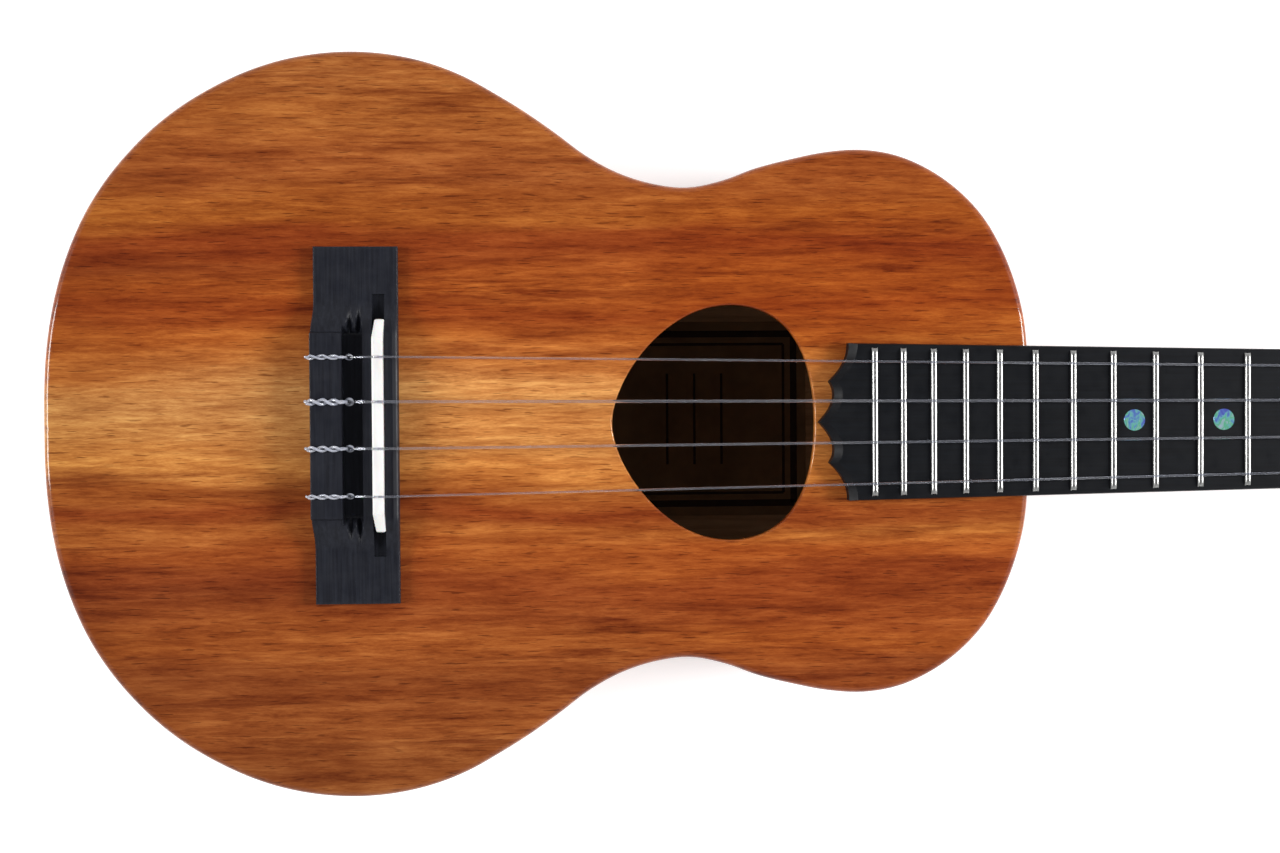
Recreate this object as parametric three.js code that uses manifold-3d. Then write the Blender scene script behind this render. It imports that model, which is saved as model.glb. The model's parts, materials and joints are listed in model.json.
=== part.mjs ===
// A tenor ukulele: hollow body, neck, fretted fingerboard, tied strings and geared tuners.
// Millimetres. +X runs from the tail to the headstock, +Y to the fourth string, +Z out of the top.
// The origin is on the centre line, halfway along the body, on the outer face of the back.
import * as THREE from 'three';
import { mergeVertices } from 'three/addons/utils/BufferGeometryUtils.js';
import Module from 'manifold-3d';

const wasm = await Module();
wasm.setup();

// ---- driving dimensions ----
const gap = 0.3;
const scaleLength = 431.8;
const scaleStartX = -46;
const fretCount = 19;
const bodyFret = 14;

const bodyDepth = 70;
const plateThickness = 2.25;
const sideThickness = 2;
const liningThickness = 5;
const liningHeight = 7;
const outlineSteps = 40;
const blockSteps = 3;

const boardThickness = 6;
const boardHalfAtNut = 17.9;
const boardHalfAtTail = 23.4;
const boardTailX = 90.6;

const nutLength = 5;
const nutTopZ = 78;
const saddleTopZ = bodyDepth + 11;

const headAngle = THREE.MathUtils.degToRad(12);
const headThickness = 13;
const headLength = 130;
const veneerThickness = 1.5;

const wormPitchRadius = 2.4;
const wormLead = 2.2;
const gearTeeth = 14;
const gearPitchRadius = (gearTeeth * wormLead) / (2 * Math.PI);
const gearThickness = 3.6;

// ---- places worked out from them ----
const fretX = (number) => scaleStartX + scaleLength / 2 ** (number / 12);
const nutX = fretX(0);
const headX = nutX + nutLength;
const bodyHeadX = fretX(bodyFret);
const topInside = bodyDepth - plateThickness;
const boardTopZ = bodyDepth + boardThickness;
const boardTaper = (boardHalfAtTail - boardHalfAtNut) / (nutX - boardTailX);
const boardHalf = (x) => boardHalfAtNut + (nutX - x) * boardTaper;

// Half widths of the body from tail to neck joint, one pair (x, y) for each change of curve.
const bodyHalfPoints = [
  [-145.7, 0], [-144.9, 22], [-141, 43], [-133, 63], [-121, 79.8], [-104.5, 94.3],
  [-80, 106.3], [-54, 110], [-29, 105.5], [-4, 92], [20.7, 75.3], [44, 70.1],
  [69, 77.3], [94, 81.4], [111, 78], [128, 66.5], [138, 52], [144.6, 32], [bodyHeadX - 0.2, 12],
];

// Strings: y at the saddle and at the nut, radius, and the tuner that takes them.
const strings = [
  { name: 'string_g', saddleY: 20, nutY: 13.6, radius: 0.33, tuner: 1 },
  { name: 'string_c', saddleY: 7, nutY: 4.8, radius: 0.45, tuner: 2 },
  { name: 'string_e', saddleY: -6.6, nutY: -4.6, radius: 0.4, tuner: 3 },
  { name: 'string_a', saddleY: -20.5, nutY: -13.4, radius: 0.33, tuner: 4 },
];

// Tuner posts in the headstock's frame: distance from the nut, and side.
const tuners = [
  { number: 1, along: 36, side: 1 },
  { number: 2, along: 84, side: 1 },
  { number: 3, along: 84, side: -1 },
  { number: 4, along: 36, side: -1 },
];
const postRadius = 3;
const postY = 17;
const postHoleRadius = postRadius + 2 * gap;
const plateSheet = 1;
const plateTopZ = -headThickness - gap;
const toothTop = 0.6;
const toothRoot = 0.8;
const wormClearance = 0.4;
const gearZ = plateTopZ - plateSheet - wormClearance - wormPitchRadius - toothTop;
const wormX = -gearPitchRadius - wormPitchRadius;
const wormHalfLength = 4;
const earThickness = 1.4;
const shaftRadius = 1.5;

// ---- materials ----
const standard = (color, roughness, metalness) =>
  new THREE.MeshStandardMaterial({ color, roughness, metalness });
const koa = () => standard(0xb06a34, 0.35, 0);
const darkKoa = () => standard(0x94522b, 0.4, 0);
const mahogany = () => standard(0x7d4526, 0.45, 0);
const spruce = () => standard(0xd9b98a, 0.7, 0);
const ebony = () => standard(0x1c1a1b, 0.5, 0);
const bone = () => standard(0xf1eee4, 0.35, 0);
const paper = () => standard(0xb9a078, 0.9, 0);
const nylon = () => standard(0xb9b2c0, 0.25, 0);
const nickel = () => standard(0xc9c8c4, 0.3, 1);

// ---- solids ----
function toSolid(geometry) {
  const bare = geometry.clone();
  bare.deleteAttribute('normal');
  bare.deleteAttribute('uv');
  const merged = mergeVertices(bare, 1e-4);
  const vertProperties = new Float32Array(merged.attributes.position.array);
  const triVerts = new Uint32Array(merged.index.array);
  return new wasm.Manifold(new wasm.Mesh({ numProp: 3, vertProperties, triVerts }));
}

function toGeometry(solid) {
  const mesh = solid.getMesh();
  const geometry = new THREE.BufferGeometry();
  geometry.setAttribute('position', new THREE.BufferAttribute(new Float32Array(mesh.vertProperties), 3));
  geometry.setIndex(new THREE.BufferAttribute(new Uint32Array(mesh.triVerts), 1));
  return geometry;
}

function cut(geometry, ...tools) {
  let solid = toSolid(geometry);
  for (const tool of tools) {
    solid = solid.subtract(toSolid(tool));
  }
  return toGeometry(solid);
}

function join(geometry, ...others) {
  let solid = toSolid(geometry);
  for (const other of others) {
    solid = solid.add(toSolid(other));
  }
  return toGeometry(solid);
}

function box(low, high) {
  const geometry = new THREE.BoxGeometry(high[0] - low[0], high[1] - low[1], high[2] - low[2]);
  return geometry.translate((low[0] + high[0]) / 2, (low[1] + high[1]) / 2, (low[2] + high[2]) / 2);
}

// A prism standing on z = bottom, from an outline in x and y.
function prism(shape, bottom, height, curveSegments = 8) {
  const geometry = new THREE.ExtrudeGeometry(shape, { depth: height, bevelEnabled: false, curveSegments });
  return geometry.translate(0, 0, bottom);
}

// A bar along Y between two y values, from a section in x and z.
function bar(section, startY, endY) {
  const geometry = new THREE.ExtrudeGeometry(section, { depth: endY - startY, bevelEnabled: false });
  return geometry.rotateX(Math.PI / 2).translate(0, endY, 0);
}

// A bar along X between two x values, from a section in y and z.
function beam(section, startX, endX) {
  const geometry = new THREE.ExtrudeGeometry(section, { depth: endX - startX, bevelEnabled: false });
  return geometry.rotateX(Math.PI / 2).rotateZ(Math.PI / 2).translate(startX, 0, 0);
}

function polygon(points) {
  return new THREE.Shape(points.map(([x, y]) => new THREE.Vector2(x, y)));
}

// A cylinder between two ends along one axis: 'x', 'y' or 'z'.
function cylinder(radius, axis, start, length, sides = 12) {
  const geometry = new THREE.CylinderGeometry(radius, radius, length, sides);
  if (axis === 'x') geometry.rotateZ(Math.PI / 2);
  if (axis === 'z') geometry.rotateX(Math.PI / 2);
  const middle = { x: 0, y: 0, z: 0, [axis]: length / 2 };
  return geometry.translate(start[0] + middle.x, start[1] + middle.y, start[2] + middle.z);
}

// A closed skin over rings of equal count, each turning right-handed about the way they advance.
function loft(rings) {
  const count = rings[0].length;
  const positions = rings.flat().flatMap((point) => [point.x, point.y, point.z]);
  const index = [];
  for (let i = 0; i + 1 < rings.length; i += 1) {
    for (let j = 0; j < count; j += 1) {
      const a = i * count + j;
      const b = i * count + ((j + 1) % count);
      index.push(a, b, b + count, a, b + count, a + count);
    }
  }
  for (const [ring, first] of [[rings[0], 0], [rings.at(-1), (rings.length - 1) * count]]) {
    const middle = ring.reduce((sum, point) => sum.add(point), new THREE.Vector3()).divideScalar(count);
    const hub = positions.length / 3;
    positions.push(middle.x, middle.y, middle.z);
    for (let j = 0; j < count; j += 1) {
      const here = first + j;
      const next = first + ((j + 1) % count);
      index.push(...(first === 0 ? [hub, next, here] : [hub, here, next]));
    }
  }
  const geometry = new THREE.BufferGeometry();
  geometry.setAttribute('position', new THREE.Float32BufferAttribute(positions, 3));
  geometry.setIndex(index);
  return geometry;
}

// A path that goes straight from point to point, with one tube ring at each.
class Route extends THREE.Curve {
  constructor(points) {
    super();
    this.points = points;
  }

  getPointAt(u) {
    return this.points[Math.round(u * (this.points.length - 1))].clone();
  }

  getTangentAt(u) {
    const i = Math.round(u * (this.points.length - 1));
    const before = this.points[Math.max(i - 1, 0)];
    const here = this.points[i];
    const after = this.points[Math.min(i + 1, this.points.length - 1)];
    const arriving = here.clone().sub(before).normalize();
    const leaving = after.clone().sub(here).normalize();
    return arriving.add(leaving).normalize();
  }
}

function tube(points, radius, sides = 8) {
  const section = new THREE.Shape();
  for (let i = 0; i < sides; i += 1) {
    const angle = (i * 2 * Math.PI) / sides;
    const move = i === 0 ? 'moveTo' : 'lineTo';
    section[move](radius * Math.cos(angle), radius * Math.sin(angle));
  }
  const settings = { steps: points.length - 1, extrudePath: new Route(points), bevelEnabled: false };
  return new THREE.ExtrudeGeometry(section, settings);
}

// ---- assembly ----
const ukulele = new THREE.Group();

function addTo(group, name, geometry, material) {
  const mesh = new THREE.Mesh(geometry, material);
  mesh.name = name;
  group.add(mesh);
}

const add = (name, geometry, material) => addTo(ukulele, name, geometry, material);

// ---- body ----
// The half outline on the +Y side, moved in by inset, as evenly spaced points from tail to neck.
const halfCurve = (() => {
  const upper = bodyHalfPoints.map(([x, y]) => new THREE.Vector3(x, y, 0));
  const lower = bodyHalfPoints.slice(1).reverse().map(([x, y]) => new THREE.Vector3(x, -y, 0));
  return new THREE.CatmullRomCurve3([...upper, ...lower], true, 'centripetal');
})();

function halfOutline(inset) {
  const points = [];
  for (let i = 0; i <= outlineSteps; i += 1) {
    const u = (0.5 * i) / outlineSteps;
    const place = halfCurve.getPointAt(u);
    const along = halfCurve.getTangentAt(u);
    const x = place.x + inset * along.y;
    const y = i === 0 || i === outlineSteps ? 0 : place.y - inset * along.x;
    points.push([x, y]);
  }
  return points;
}

const mirrored = (points) => points.map(([x, y]) => [x, -y]);
const forSide = (points, side) => (side > 0 ? points : mirrored(points));

function wholeOutline(inset) {
  const upper = halfOutline(inset);
  return [...upper, ...mirrored(upper.slice(1, -1)).reverse()];
}

// An egg-shaped hole: four curves that meet at its two ends and at its widest place.
function soundhole() {
  const left = 20.5;
  const right = 81;
  const widest = 55.5;
  const half = 35;
  const bend = { left: 12.7, beforeWidest: 19.4, afterWidest: 19.9, right: 17.4 };
  const before = widest - bend.beforeWidest;
  const after = widest + bend.afterWidest;
  const path = new THREE.Path();
  path.moveTo(left, 0);
  path.bezierCurveTo(left, -bend.left, before, -half, widest, -half);
  path.bezierCurveTo(after, -half, right, -bend.right, right, 0);
  path.bezierCurveTo(right, bend.right, after, half, widest, half);
  path.bezierCurveTo(before, half, left, bend.left, left, 0);
  return path;
}

function addPlates() {
  const top = polygon(wholeOutline(0));
  top.holes.push(soundhole());
  add('soundboard', prism(top, topInside, plateThickness), koa());
  add('back_plate', prism(polygon(wholeOutline(0)), 0, plateThickness), koa());
}

// A strip that follows the half outline between two insets and two steps of it.
function strip(side, inset, thickness, bottom, height, firstStep = 0, lastStep = outlineSteps) {
  const outer = halfOutline(inset).slice(firstStep, lastStep + 1);
  const inner = halfOutline(inset + thickness).slice(firstStep, lastStep + 1);
  return prism(polygon(forSide([...outer, ...inner.reverse()], side)), bottom, height);
}

function addSides() {
  const height = topInside - plateThickness;
  add('side_bass', strip(1, 0, sideThickness, plateThickness, height), darkKoa());
  add('side_treble', strip(-1, 0, sideThickness, plateThickness, height), darkKoa());
}

function addLinings() {
  const last = outlineSteps - blockSteps;
  for (const [sideName, side] of [['bass', 1], ['treble', -1]]) {
    for (const [levelName, bottom] of [['top', topInside - liningHeight], ['back', plateThickness]]) {
      const lining = strip(side, sideThickness, liningThickness, bottom, liningHeight, blockSteps, last);
      add(`lining_${levelName}_${sideName}`, lining, spruce());
    }
  }
}

// An end block fills the stretch of outline near the centre line at the tail or the neck.
function endBlock(firstStep, lastStep, depth) {
  const outer = halfOutline(sideThickness).slice(firstStep, lastStep + 1);
  const inner = halfOutline(sideThickness + depth).slice(firstStep, lastStep + 1);
  const corner = firstStep === 0 ? inner.at(-1) : inner[0];
  const around = firstStep === 0 ? [...outer, corner] : [corner, ...outer];
  const back = mirrored(around).reverse().filter(([, y]) => y !== 0);
  return prism(polygon([...around, ...back]), plateThickness, topInside - plateThickness);
}

function addBlocks() {
  add('tail_block', endBlock(0, blockSteps, 14), mahogany());
  add('neck_block', endBlock(outlineSteps - blockSteps, outlineSteps, 26), mahogany());
}

// A brace: a bar with thinned ends, standing down from the top or up from the back.
function brace(centre, length, height, width, angle, level, direction) {
  const tip = 2;
  const half = length / 2;
  const full = half - 16;
  const profile = [[-half, 0], [half, 0], [half, tip], [full, height], [-full, height], [-half, tip]];
  const section = polygon(profile.map(([x, z]) => [x, z * direction]));
  const geometry = bar(section, -width / 2, width / 2);
  return geometry.rotateZ(angle).translate(centre[0], centre[1], level);
}

// Length of a brace that lies across the body at x and stops short of the linings.
function braceSpan(x) {
  const clearance = 3;
  const inside = halfOutline(sideThickness + liningThickness + 1);
  const nearest = inside.toSorted((a, b) => Math.abs(a[0] - x) - Math.abs(b[0] - x))[0];
  return 2 * (nearest[1] - clearance);
}

function addBraces() {
  const across = Math.PI / 2;
  for (const [name, x] of [['upper_transverse_brace', 98], ['lower_transverse_brace', 8]]) {
    add(name, brace([x, 0], braceSpan(x), 10, 7, across, topInside, -1), spruce());
  }
  for (const [name, x] of [['back_brace_upper', 104], ['back_brace_lower', -34]]) {
    add(name, brace([x, 0], braceSpan(x), 9, 8, across, plateThickness, 1), spruce());
  }

  const plateLow = [-74, -62, topInside - 2];
  const plateHigh = [-38, 62, topInside];
  add('bridge_plate', box(plateLow, plateHigh), spruce());
  const notch = box([plateLow[0] - gap, -80, plateLow[2] - gap], [plateHigh[0] + gap, 80, topInside + 1]);
  for (const [name, side] of [['fan_brace_bass', 1], ['fan_brace_treble', -1]]) {
    const bent = -side * THREE.MathUtils.degToRad(10);
    add(name, cut(brace([-60, 34 * side], 118, 7, 5, bent, topInside, -1), notch), spruce());
  }
}

function addLabel() {
  add('paper_label', box([14, -32, plateThickness], [88, 32, plateThickness + gap]), paper());
}

// ---- bridge ----
const bridge = {
  backX: scaleStartX - 21.7,
  frontX: scaleStartX + 3.7,
  halfLength: 52.4,
  wingZ: bodyDepth + 3,
  topZ: bodyDepth + 8.5,
  ridgeZ: bodyDepth + 6.5,
  channelBackX: scaleStartX - 12.9,
  channelFrontX: scaleStartX - 7.1,
  slotX: scaleStartX - 3.9,
  holeZ: bodyDepth + 5,
};
const saddleThickness = 3.2;
const saddleX = bridge.slotX + gap + saddleThickness / 2;

function addBridge() {
  const blockHalf = 27;
  const rampHalf = 37;
  const floorZ = bodyDepth + 3.5;
  const front = polygon([
    [-bridge.halfLength, bodyDepth], [bridge.halfLength, bodyDepth], [bridge.halfLength, bridge.wingZ],
    [rampHalf, bridge.wingZ], [blockHalf, bridge.topZ], [-blockHalf, bridge.topZ],
    [-rampHalf, bridge.wingZ], [-bridge.halfLength, bridge.wingZ],
  ]);
  const channel = box([bridge.channelBackX, -30, floorZ], [bridge.channelFrontX, 30, bridge.topZ + 1]);
  const shelf = box([bridge.channelFrontX - 1, -40, bridge.ridgeZ], [bridge.frontX + 1, 40, bridge.topZ + 1]);
  const slotEnd = bridge.slotX + saddleThickness + 2 * gap;
  const slot = box([bridge.slotX, -39, floorZ], [slotEnd, 39, bridge.topZ + 1]);
  const holes = strings.map(({ saddleY }) =>
    cylinder(1.1, 'x', [bridge.backX - 1, saddleY, bridge.holeZ], 12, 8));
  const body = beam(front, bridge.backX, bridge.frontX);
  add('bridge', cut(body, channel, shelf, slot, ...holes), ebony());

  const shoulder = 26;
  const end = 31;
  const side = polygon([[-end, floorZ], [end, floorZ], [end, bridge.ridgeZ + 1.5],
    [shoulder, saddleTopZ], [-shoulder, saddleTopZ], [-end, bridge.ridgeZ + 1.5]]);
  add('saddle', beam(side, saddleX - saddleThickness / 2, saddleX + saddleThickness / 2), bone());
}

// ---- neck, fingerboard, nut and frets ----
const neckDepth = 14.5;
const heel = { startX: 200, coveX: 163, depth: 73 };

function neckRing(x, depth) {
  const half = boardHalf(x);
  const steps = 14;
  const points = [];
  for (let k = 0; k <= steps; k += 1) {
    const angle = Math.PI + (Math.PI * k) / steps;
    points.push(new THREE.Vector3(x, half * Math.cos(angle), bodyDepth + depth * Math.sin(angle)));
  }
  return points;
}

// The heel's back curve is a quarter of an ellipse that runs from the shaft down to the cap.
function neckShaft() {
  const rings = [neckRing(bodyHeadX + gap, heel.depth)];
  const steps = 8;
  for (let k = 0; k <= steps; k += 1) {
    const angle = (Math.PI / 2) * (1 - k / steps);
    const x = heel.startX - (heel.startX - heel.coveX) * Math.sin(angle);
    const depth = neckDepth + 2 + (heel.depth - neckDepth - 2) * (1 - Math.cos(angle));
    rings.push(neckRing(x, depth));
  }
  rings.push(neckRing(nutX - 15, neckDepth), neckRing(headX, neckDepth));
  return loft(rings);
}

// The headstock spreads from the nut's width, and its crown is one rounded curve.
function headOutline(startX) {
  const half = boardHalfAtNut;
  const length = headLength;
  const shape = new THREE.Shape();
  shape.moveTo(startX, half);
  shape.lineTo(startX, -half);
  shape.lineTo(3, -half);
  shape.bezierCurveTo(12, -half, 12, -28, 24, -29);
  shape.bezierCurveTo(60, -31, 80, -31, 108, -35);
  shape.bezierCurveTo(120, -37, length, -20, length, 0);
  shape.bezierCurveTo(length, 20, 120, 37, 108, 35);
  shape.bezierCurveTo(80, 31, 60, 31, 24, 29);
  shape.bezierCurveTo(12, 28, 12, half, 3, half);
  return shape;
}

const headFrame = new THREE.Matrix4().makeRotationY(headAngle).setPosition(headX, 0, bodyDepth);

function addNeck() {
  const postHoles = tuners.map(({ along, side }) =>
    cylinder(postHoleRadius, 'z', [along, side * postY, -headThickness - 1], headThickness + 4));
  const plank = cut(prism(headOutline(-6), -headThickness, headThickness, 5), ...postHoles);
  const aboveNeck = box([nutX - 10, -40, bodyDepth], [headX, 40, bodyDepth + 20]);
  const belowCap = box([bodyHeadX - 1, -30, -10], [heel.startX, 30, plateThickness]);
  const whole = join(neckShaft(), plank.applyMatrix4(headFrame));
  add('neck', cut(whole, aboveNeck, belowCap), mahogany());

  const capSlab = toSolid(box([bodyHeadX - 1, -30, 0], [heel.startX, 30, plateThickness]));
  add('heel_cap', toGeometry(toSolid(neckShaft()).intersect(capSlab)), ebony());
}

// A fret's tang is the thin rib below its crown, and it stops short of the board's edges.
const tang = { half: 0.25, depth: 1.8, inset: 3 };

function addFingerboard() {
  const cusp = [84.9, 12.1];
  const tipX = 81.8;
  const half = boardHalf(boardTailX);
  const shape = new THREE.Shape();
  shape.moveTo(nutX, -boardHalfAtNut);
  shape.lineTo(nutX, boardHalfAtNut);
  shape.lineTo(boardTailX, half);
  shape.quadraticCurveTo(90.9, 17.5, cusp[0], cusp[1]);
  shape.quadraticCurveTo(88.7, 7, tipX, 0);
  shape.quadraticCurveTo(88.7, -7, cusp[0], -cusp[1]);
  shape.quadraticCurveTo(90.9, -17.5, boardTailX, -half);
  const slots = [];
  for (let number = 1; number <= fretCount; number += 1) {
    const x = fretX(number);
    const halfWidth = tang.half + gap;
    const reach = boardHalf(x) - tang.inset + 0.5;
    const floorZ = boardTopZ - tang.depth - gap - 0.1;
    slots.push(box([x - halfWidth, -reach, floorZ], [x + halfWidth, reach, boardTopZ + 1]));
  }
  add('fingerboard', cut(prism(shape, bodyDepth, boardThickness, 6), ...slots), ebony());
}

// A fret: a rounded crown on the board with a tang in the slot below it.
function fret(number) {
  const crownHalf = 1.05;
  const crownHeight = 1;
  const crownInset = 1.3;
  const bend = (crownHeight * 4) / 3;
  const section = new THREE.Shape();
  section.moveTo(-crownHalf, 0);
  section.lineTo(crownHalf, 0);
  section.bezierCurveTo(crownHalf, bend, -crownHalf, bend, -crownHalf, 0);
  const x = fretX(number);
  const half = boardHalf(x) - crownInset;
  const settings = { depth: 2 * half, bevelEnabled: false, curveSegments: 6 };
  const crown = new THREE.ExtrudeGeometry(section, settings);
  crown.rotateX(Math.PI / 2).translate(x, half, boardTopZ);
  const reach = boardHalf(x) - tang.inset;
  const low = [x - tang.half, -reach, boardTopZ - tang.depth];
  const high = [x + tang.half, reach, boardTopZ + 0.2];
  return join(crown, box(low, high));
}

function addFrets() {
  for (let number = 1; number <= fretCount; number += 1) {
    add(`fret_${String(number).padStart(2, '0')}`, fret(number), nickel());
  }
}

const nutSlotZ = nutTopZ - 0.9;

function addNut() {
  const block = box([nutX, -boardHalfAtNut, bodyDepth], [headX, boardHalfAtNut, nutTopZ]);
  const slots = strings.map(({ nutY, radius }) => {
    const half = radius + gap;
    return box([nutX - 1, nutY - half, nutSlotZ], [headX + 1, nutY + half, nutTopZ + 1]);
  });
  add('nut', cut(block, ...slots), bone());
}

// ---- strings ----
const waistZ = veneerThickness + gap + 7;

function addStrings() {
  for (const { name, saddleY, nutY, radius, tuner } of strings) {
    const { along, side } = tuners[tuner - 1];
    const overSaddle = saddleTopZ + gap + radius;
    const overNut = nutSlotZ + gap + radius;
    const windY = side * (postY - postRadius - gap - radius - 0.1);
    const besidePost = (x) => new THREE.Vector3(x, windY, waistZ).applyMatrix4(headFrame);
    const route = [
      new THREE.Vector3(bridge.backX - 1, saddleY, bridge.holeZ),
      new THREE.Vector3(bridge.channelBackX, saddleY, bridge.holeZ),
      new THREE.Vector3(saddleX - saddleThickness / 2, saddleY, overSaddle),
      new THREE.Vector3(saddleX + saddleThickness / 2, saddleY, overSaddle),
      new THREE.Vector3(nutX, nutY, overNut),
      new THREE.Vector3(headX, nutY, overNut - 0.1),
      besidePost(along - postRadius / 2),
      besidePost(along + postRadius / 2),
    ];
    add(name, tube(route, radius), nylon());
  }
}

// ---- headstock face and tuners ----
const headGroup = new THREE.Group();
headGroup.position.set(headX, 0, bodyDepth);
headGroup.rotation.y = headAngle;
ukulele.add(headGroup);

function addVeneer() {
  const shape = headOutline(gap);
  const holes = tuners.map(({ along, side }) =>
    cylinder(postHoleRadius, 'z', [along, side * postY, -1], 4));
  addTo(headGroup, 'headstock_veneer', cut(prism(shape, gap, veneerThickness, 5), ...holes), koa());
}

// Radius of the worm's thread at a phase, in turns from the middle of its crest.
function threadRadius(phase) {
  const crestEnd = 0.1;
  const flankEnd = 0.27;
  const fromCrest = Math.abs(phase - Math.round(phase));
  const height = THREE.MathUtils.clamp((flankEnd - fromCrest) / (flankEnd - crestEnd), 0, 1);
  return wormPitchRadius - toothRoot + 0.05 + (toothTop + toothRoot - 0.05) * height;
}

// Button, shaft and worm turn as one about Y. The worm's middle is at y = 0, and at rest its
// thread has a crest there on the side at facing, in turns from +X, where the gear is.
function buttonGeometry(facing) {
  const sides = 10;
  const ring = (y, radiusOf) => {
    const points = [];
    for (let j = 0; j < sides; j += 1) {
      const angle = (2 * Math.PI * j) / sides;
      const [rx, rz] = radiusOf(angle);
      points.push(new THREE.Vector3(rx * Math.cos(angle), y, -rz * Math.sin(angle)));
    }
    return points;
  };
  const round = (radius) => () => [radius, radius];
  const shaftStub = earThickness + 1;
  const rings = [ring(-wormHalfLength - shaftStub, round(shaftRadius))];
  rings.push(ring(-wormHalfLength, round(shaftRadius)));
  const rows = Math.round((2 * wormHalfLength * sides) / wormLead);
  for (let i = 0; i <= rows; i += 1) {
    const y = ((i - rows / 2) * wormLead) / sides;
    const end = i === 0 || i === rows;
    rings.push(ring(y, (angle) => {
      const radius = end ? shaftRadius : threadRadius(angle / (2 * Math.PI) - facing - y / wormLead);
      return [radius, radius];
    }));
  }
  const buttonStart = 19;
  const buttonLength = 15;
  rings.push(ring(buttonStart - 0.1, round(shaftRadius)));
  const swell = [
    [0, 2.2, 2.2], [0.12, 3.4, 2.9], [0.35, 7.4, 3.4], [0.65, 8.6, 3.4], [0.9, 6.8, 2.9], [1, 4, 1.8],
  ];
  for (const [part, rx, rz] of swell) {
    rings.push(ring(buttonStart + part * buttonLength, () => [rx, rz]));
  }
  return loft(rings);
}

// The gear's teeth lean by the worm's lead angle, and a gap faces the worm on the -X side.
function gearGeometry() {
  const rootRadius = gearPitchRadius - toothRoot;
  const tipRadius = gearPitchRadius + toothTop;
  const rootHalf = 0.62 / rootRadius;
  const tipHalf = 0.25 / tipRadius;
  const lean = THREE.MathUtils.degToRad(2.75);
  const ring = (z, turn) => {
    const points = [];
    for (let tooth = 0; tooth < gearTeeth; tooth += 1) {
      const centre = Math.PI + ((tooth + 0.5) * 2 * Math.PI) / gearTeeth + turn;
      for (const [radius, offset] of [[rootRadius, -rootHalf], [tipRadius, -tipHalf],
        [tipRadius, tipHalf], [rootRadius, rootHalf]]) {
        const angle = centre + offset;
        points.push(new THREE.Vector3(radius * Math.cos(angle), radius * Math.sin(angle), z));
      }
    }
    return points;
  };
  return loft([ring(gearZ - gearThickness / 2, -lean), ring(gearZ + gearThickness / 2, lean)]);
}

// Post, gear and gear screw turn as one about Z.
function postGeometry() {
  const topZ = waistZ + 5;
  const screwRadius = 2.6;
  const screwZ = gearZ - gearThickness / 2 - 1.6;
  const waistHalf = 2.4;
  const ease = 0.8;
  const profile = [
    [0, screwZ], [screwRadius, screwZ], [screwRadius, gearZ], [postRadius, gearZ],
    [postRadius, waistZ - waistHalf], [postRadius - 0.5, waistZ], [postRadius, waistZ + waistHalf],
    [postRadius, topZ - ease], [postRadius - ease, topZ], [0, topZ],
  ].map(([radius, z]) => new THREE.Vector2(radius, z));
  const stem = new THREE.LatheGeometry(profile, 14).rotateX(Math.PI / 2);
  const eye = cylinder(0.9, 'x', [-2 * postRadius, 0, waistZ], 4 * postRadius, 8);
  return cut(join(stem, gearGeometry()), eye);
}

// The plate lies on the headstock's back; its two ears carry the worm's shaft.
function tunerPlateGeometry() {
  const half = wormHalfLength + gap + earThickness;
  const nose = 5;
  const nearEnd = wormX - 4.6;
  const farEnd = 10;
  const outline = new THREE.Shape();
  outline.absarc(farEnd, 0, nose, -Math.PI / 2, Math.PI / 2);
  outline.lineTo(wormX + 2, half);
  outline.lineTo(wormX - 4, half);
  outline.absarc(nearEnd, 0, nose, Math.PI / 2, (3 * Math.PI) / 2);
  outline.lineTo(wormX - 4, -half);
  const sheet = prism(outline, plateTopZ - plateSheet, plateSheet, 6);
  const earHalf = 3.2;
  const earTopZ = plateTopZ - plateSheet / 2;
  const ears = [-half, half - earThickness].map((y) =>
    box([wormX - earHalf, y, gearZ - earHalf], [wormX + earHalf, y + earThickness, earTopZ]));
  const bore = cylinder(shaftRadius + gap, 'y', [wormX, -half - 1, gearZ], 2 * half + 2);
  const postHole = cylinder(postHoleRadius, 'z', [0, 0, plateTopZ - 3], 6);
  const screwRadius = 1.1;
  const screwHoles = [nearEnd - 1.4, farEnd + 1.5].map((x) =>
    cylinder(screwRadius, 'z', [x, 0, plateTopZ - 3], 6, 8));
  return cut(join(sheet, ...ears), bore, postHole, ...screwHoles);
}

function addTuners() {
  for (const { number, along, side } of tuners) {
    const tunerGroup = new THREE.Group();
    tunerGroup.position.set(along, side * postY, 0);
    headGroup.add(tunerGroup);
    addTo(tunerGroup, `tuner_plate_${number}`, tunerPlateGeometry(), nickel());
    addTo(tunerGroup, `tuner_post_${number}`, postGeometry(), nickel());
    const wormGroup = new THREE.Group();
    wormGroup.position.set(wormX, 0, gearZ);
    wormGroup.rotation.z = side > 0 ? 0 : Math.PI;
    tunerGroup.add(wormGroup);
    addTo(wormGroup, `tuner_button_${number}`, buttonGeometry(side > 0 ? 0 : 0.5), ebony());
  }
}

addPlates();
addSides();
addLinings();
addBlocks();
addBraces();
addLabel();
addBridge();
addNeck();
addFingerboard();
addFrets();
addNut();
addStrings();
addVeneer();
addTuners();

export default ukulele;
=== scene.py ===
import json
import math

import bmesh
import bpy
import numpy as np
from mathutils import Matrix, Vector


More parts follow.
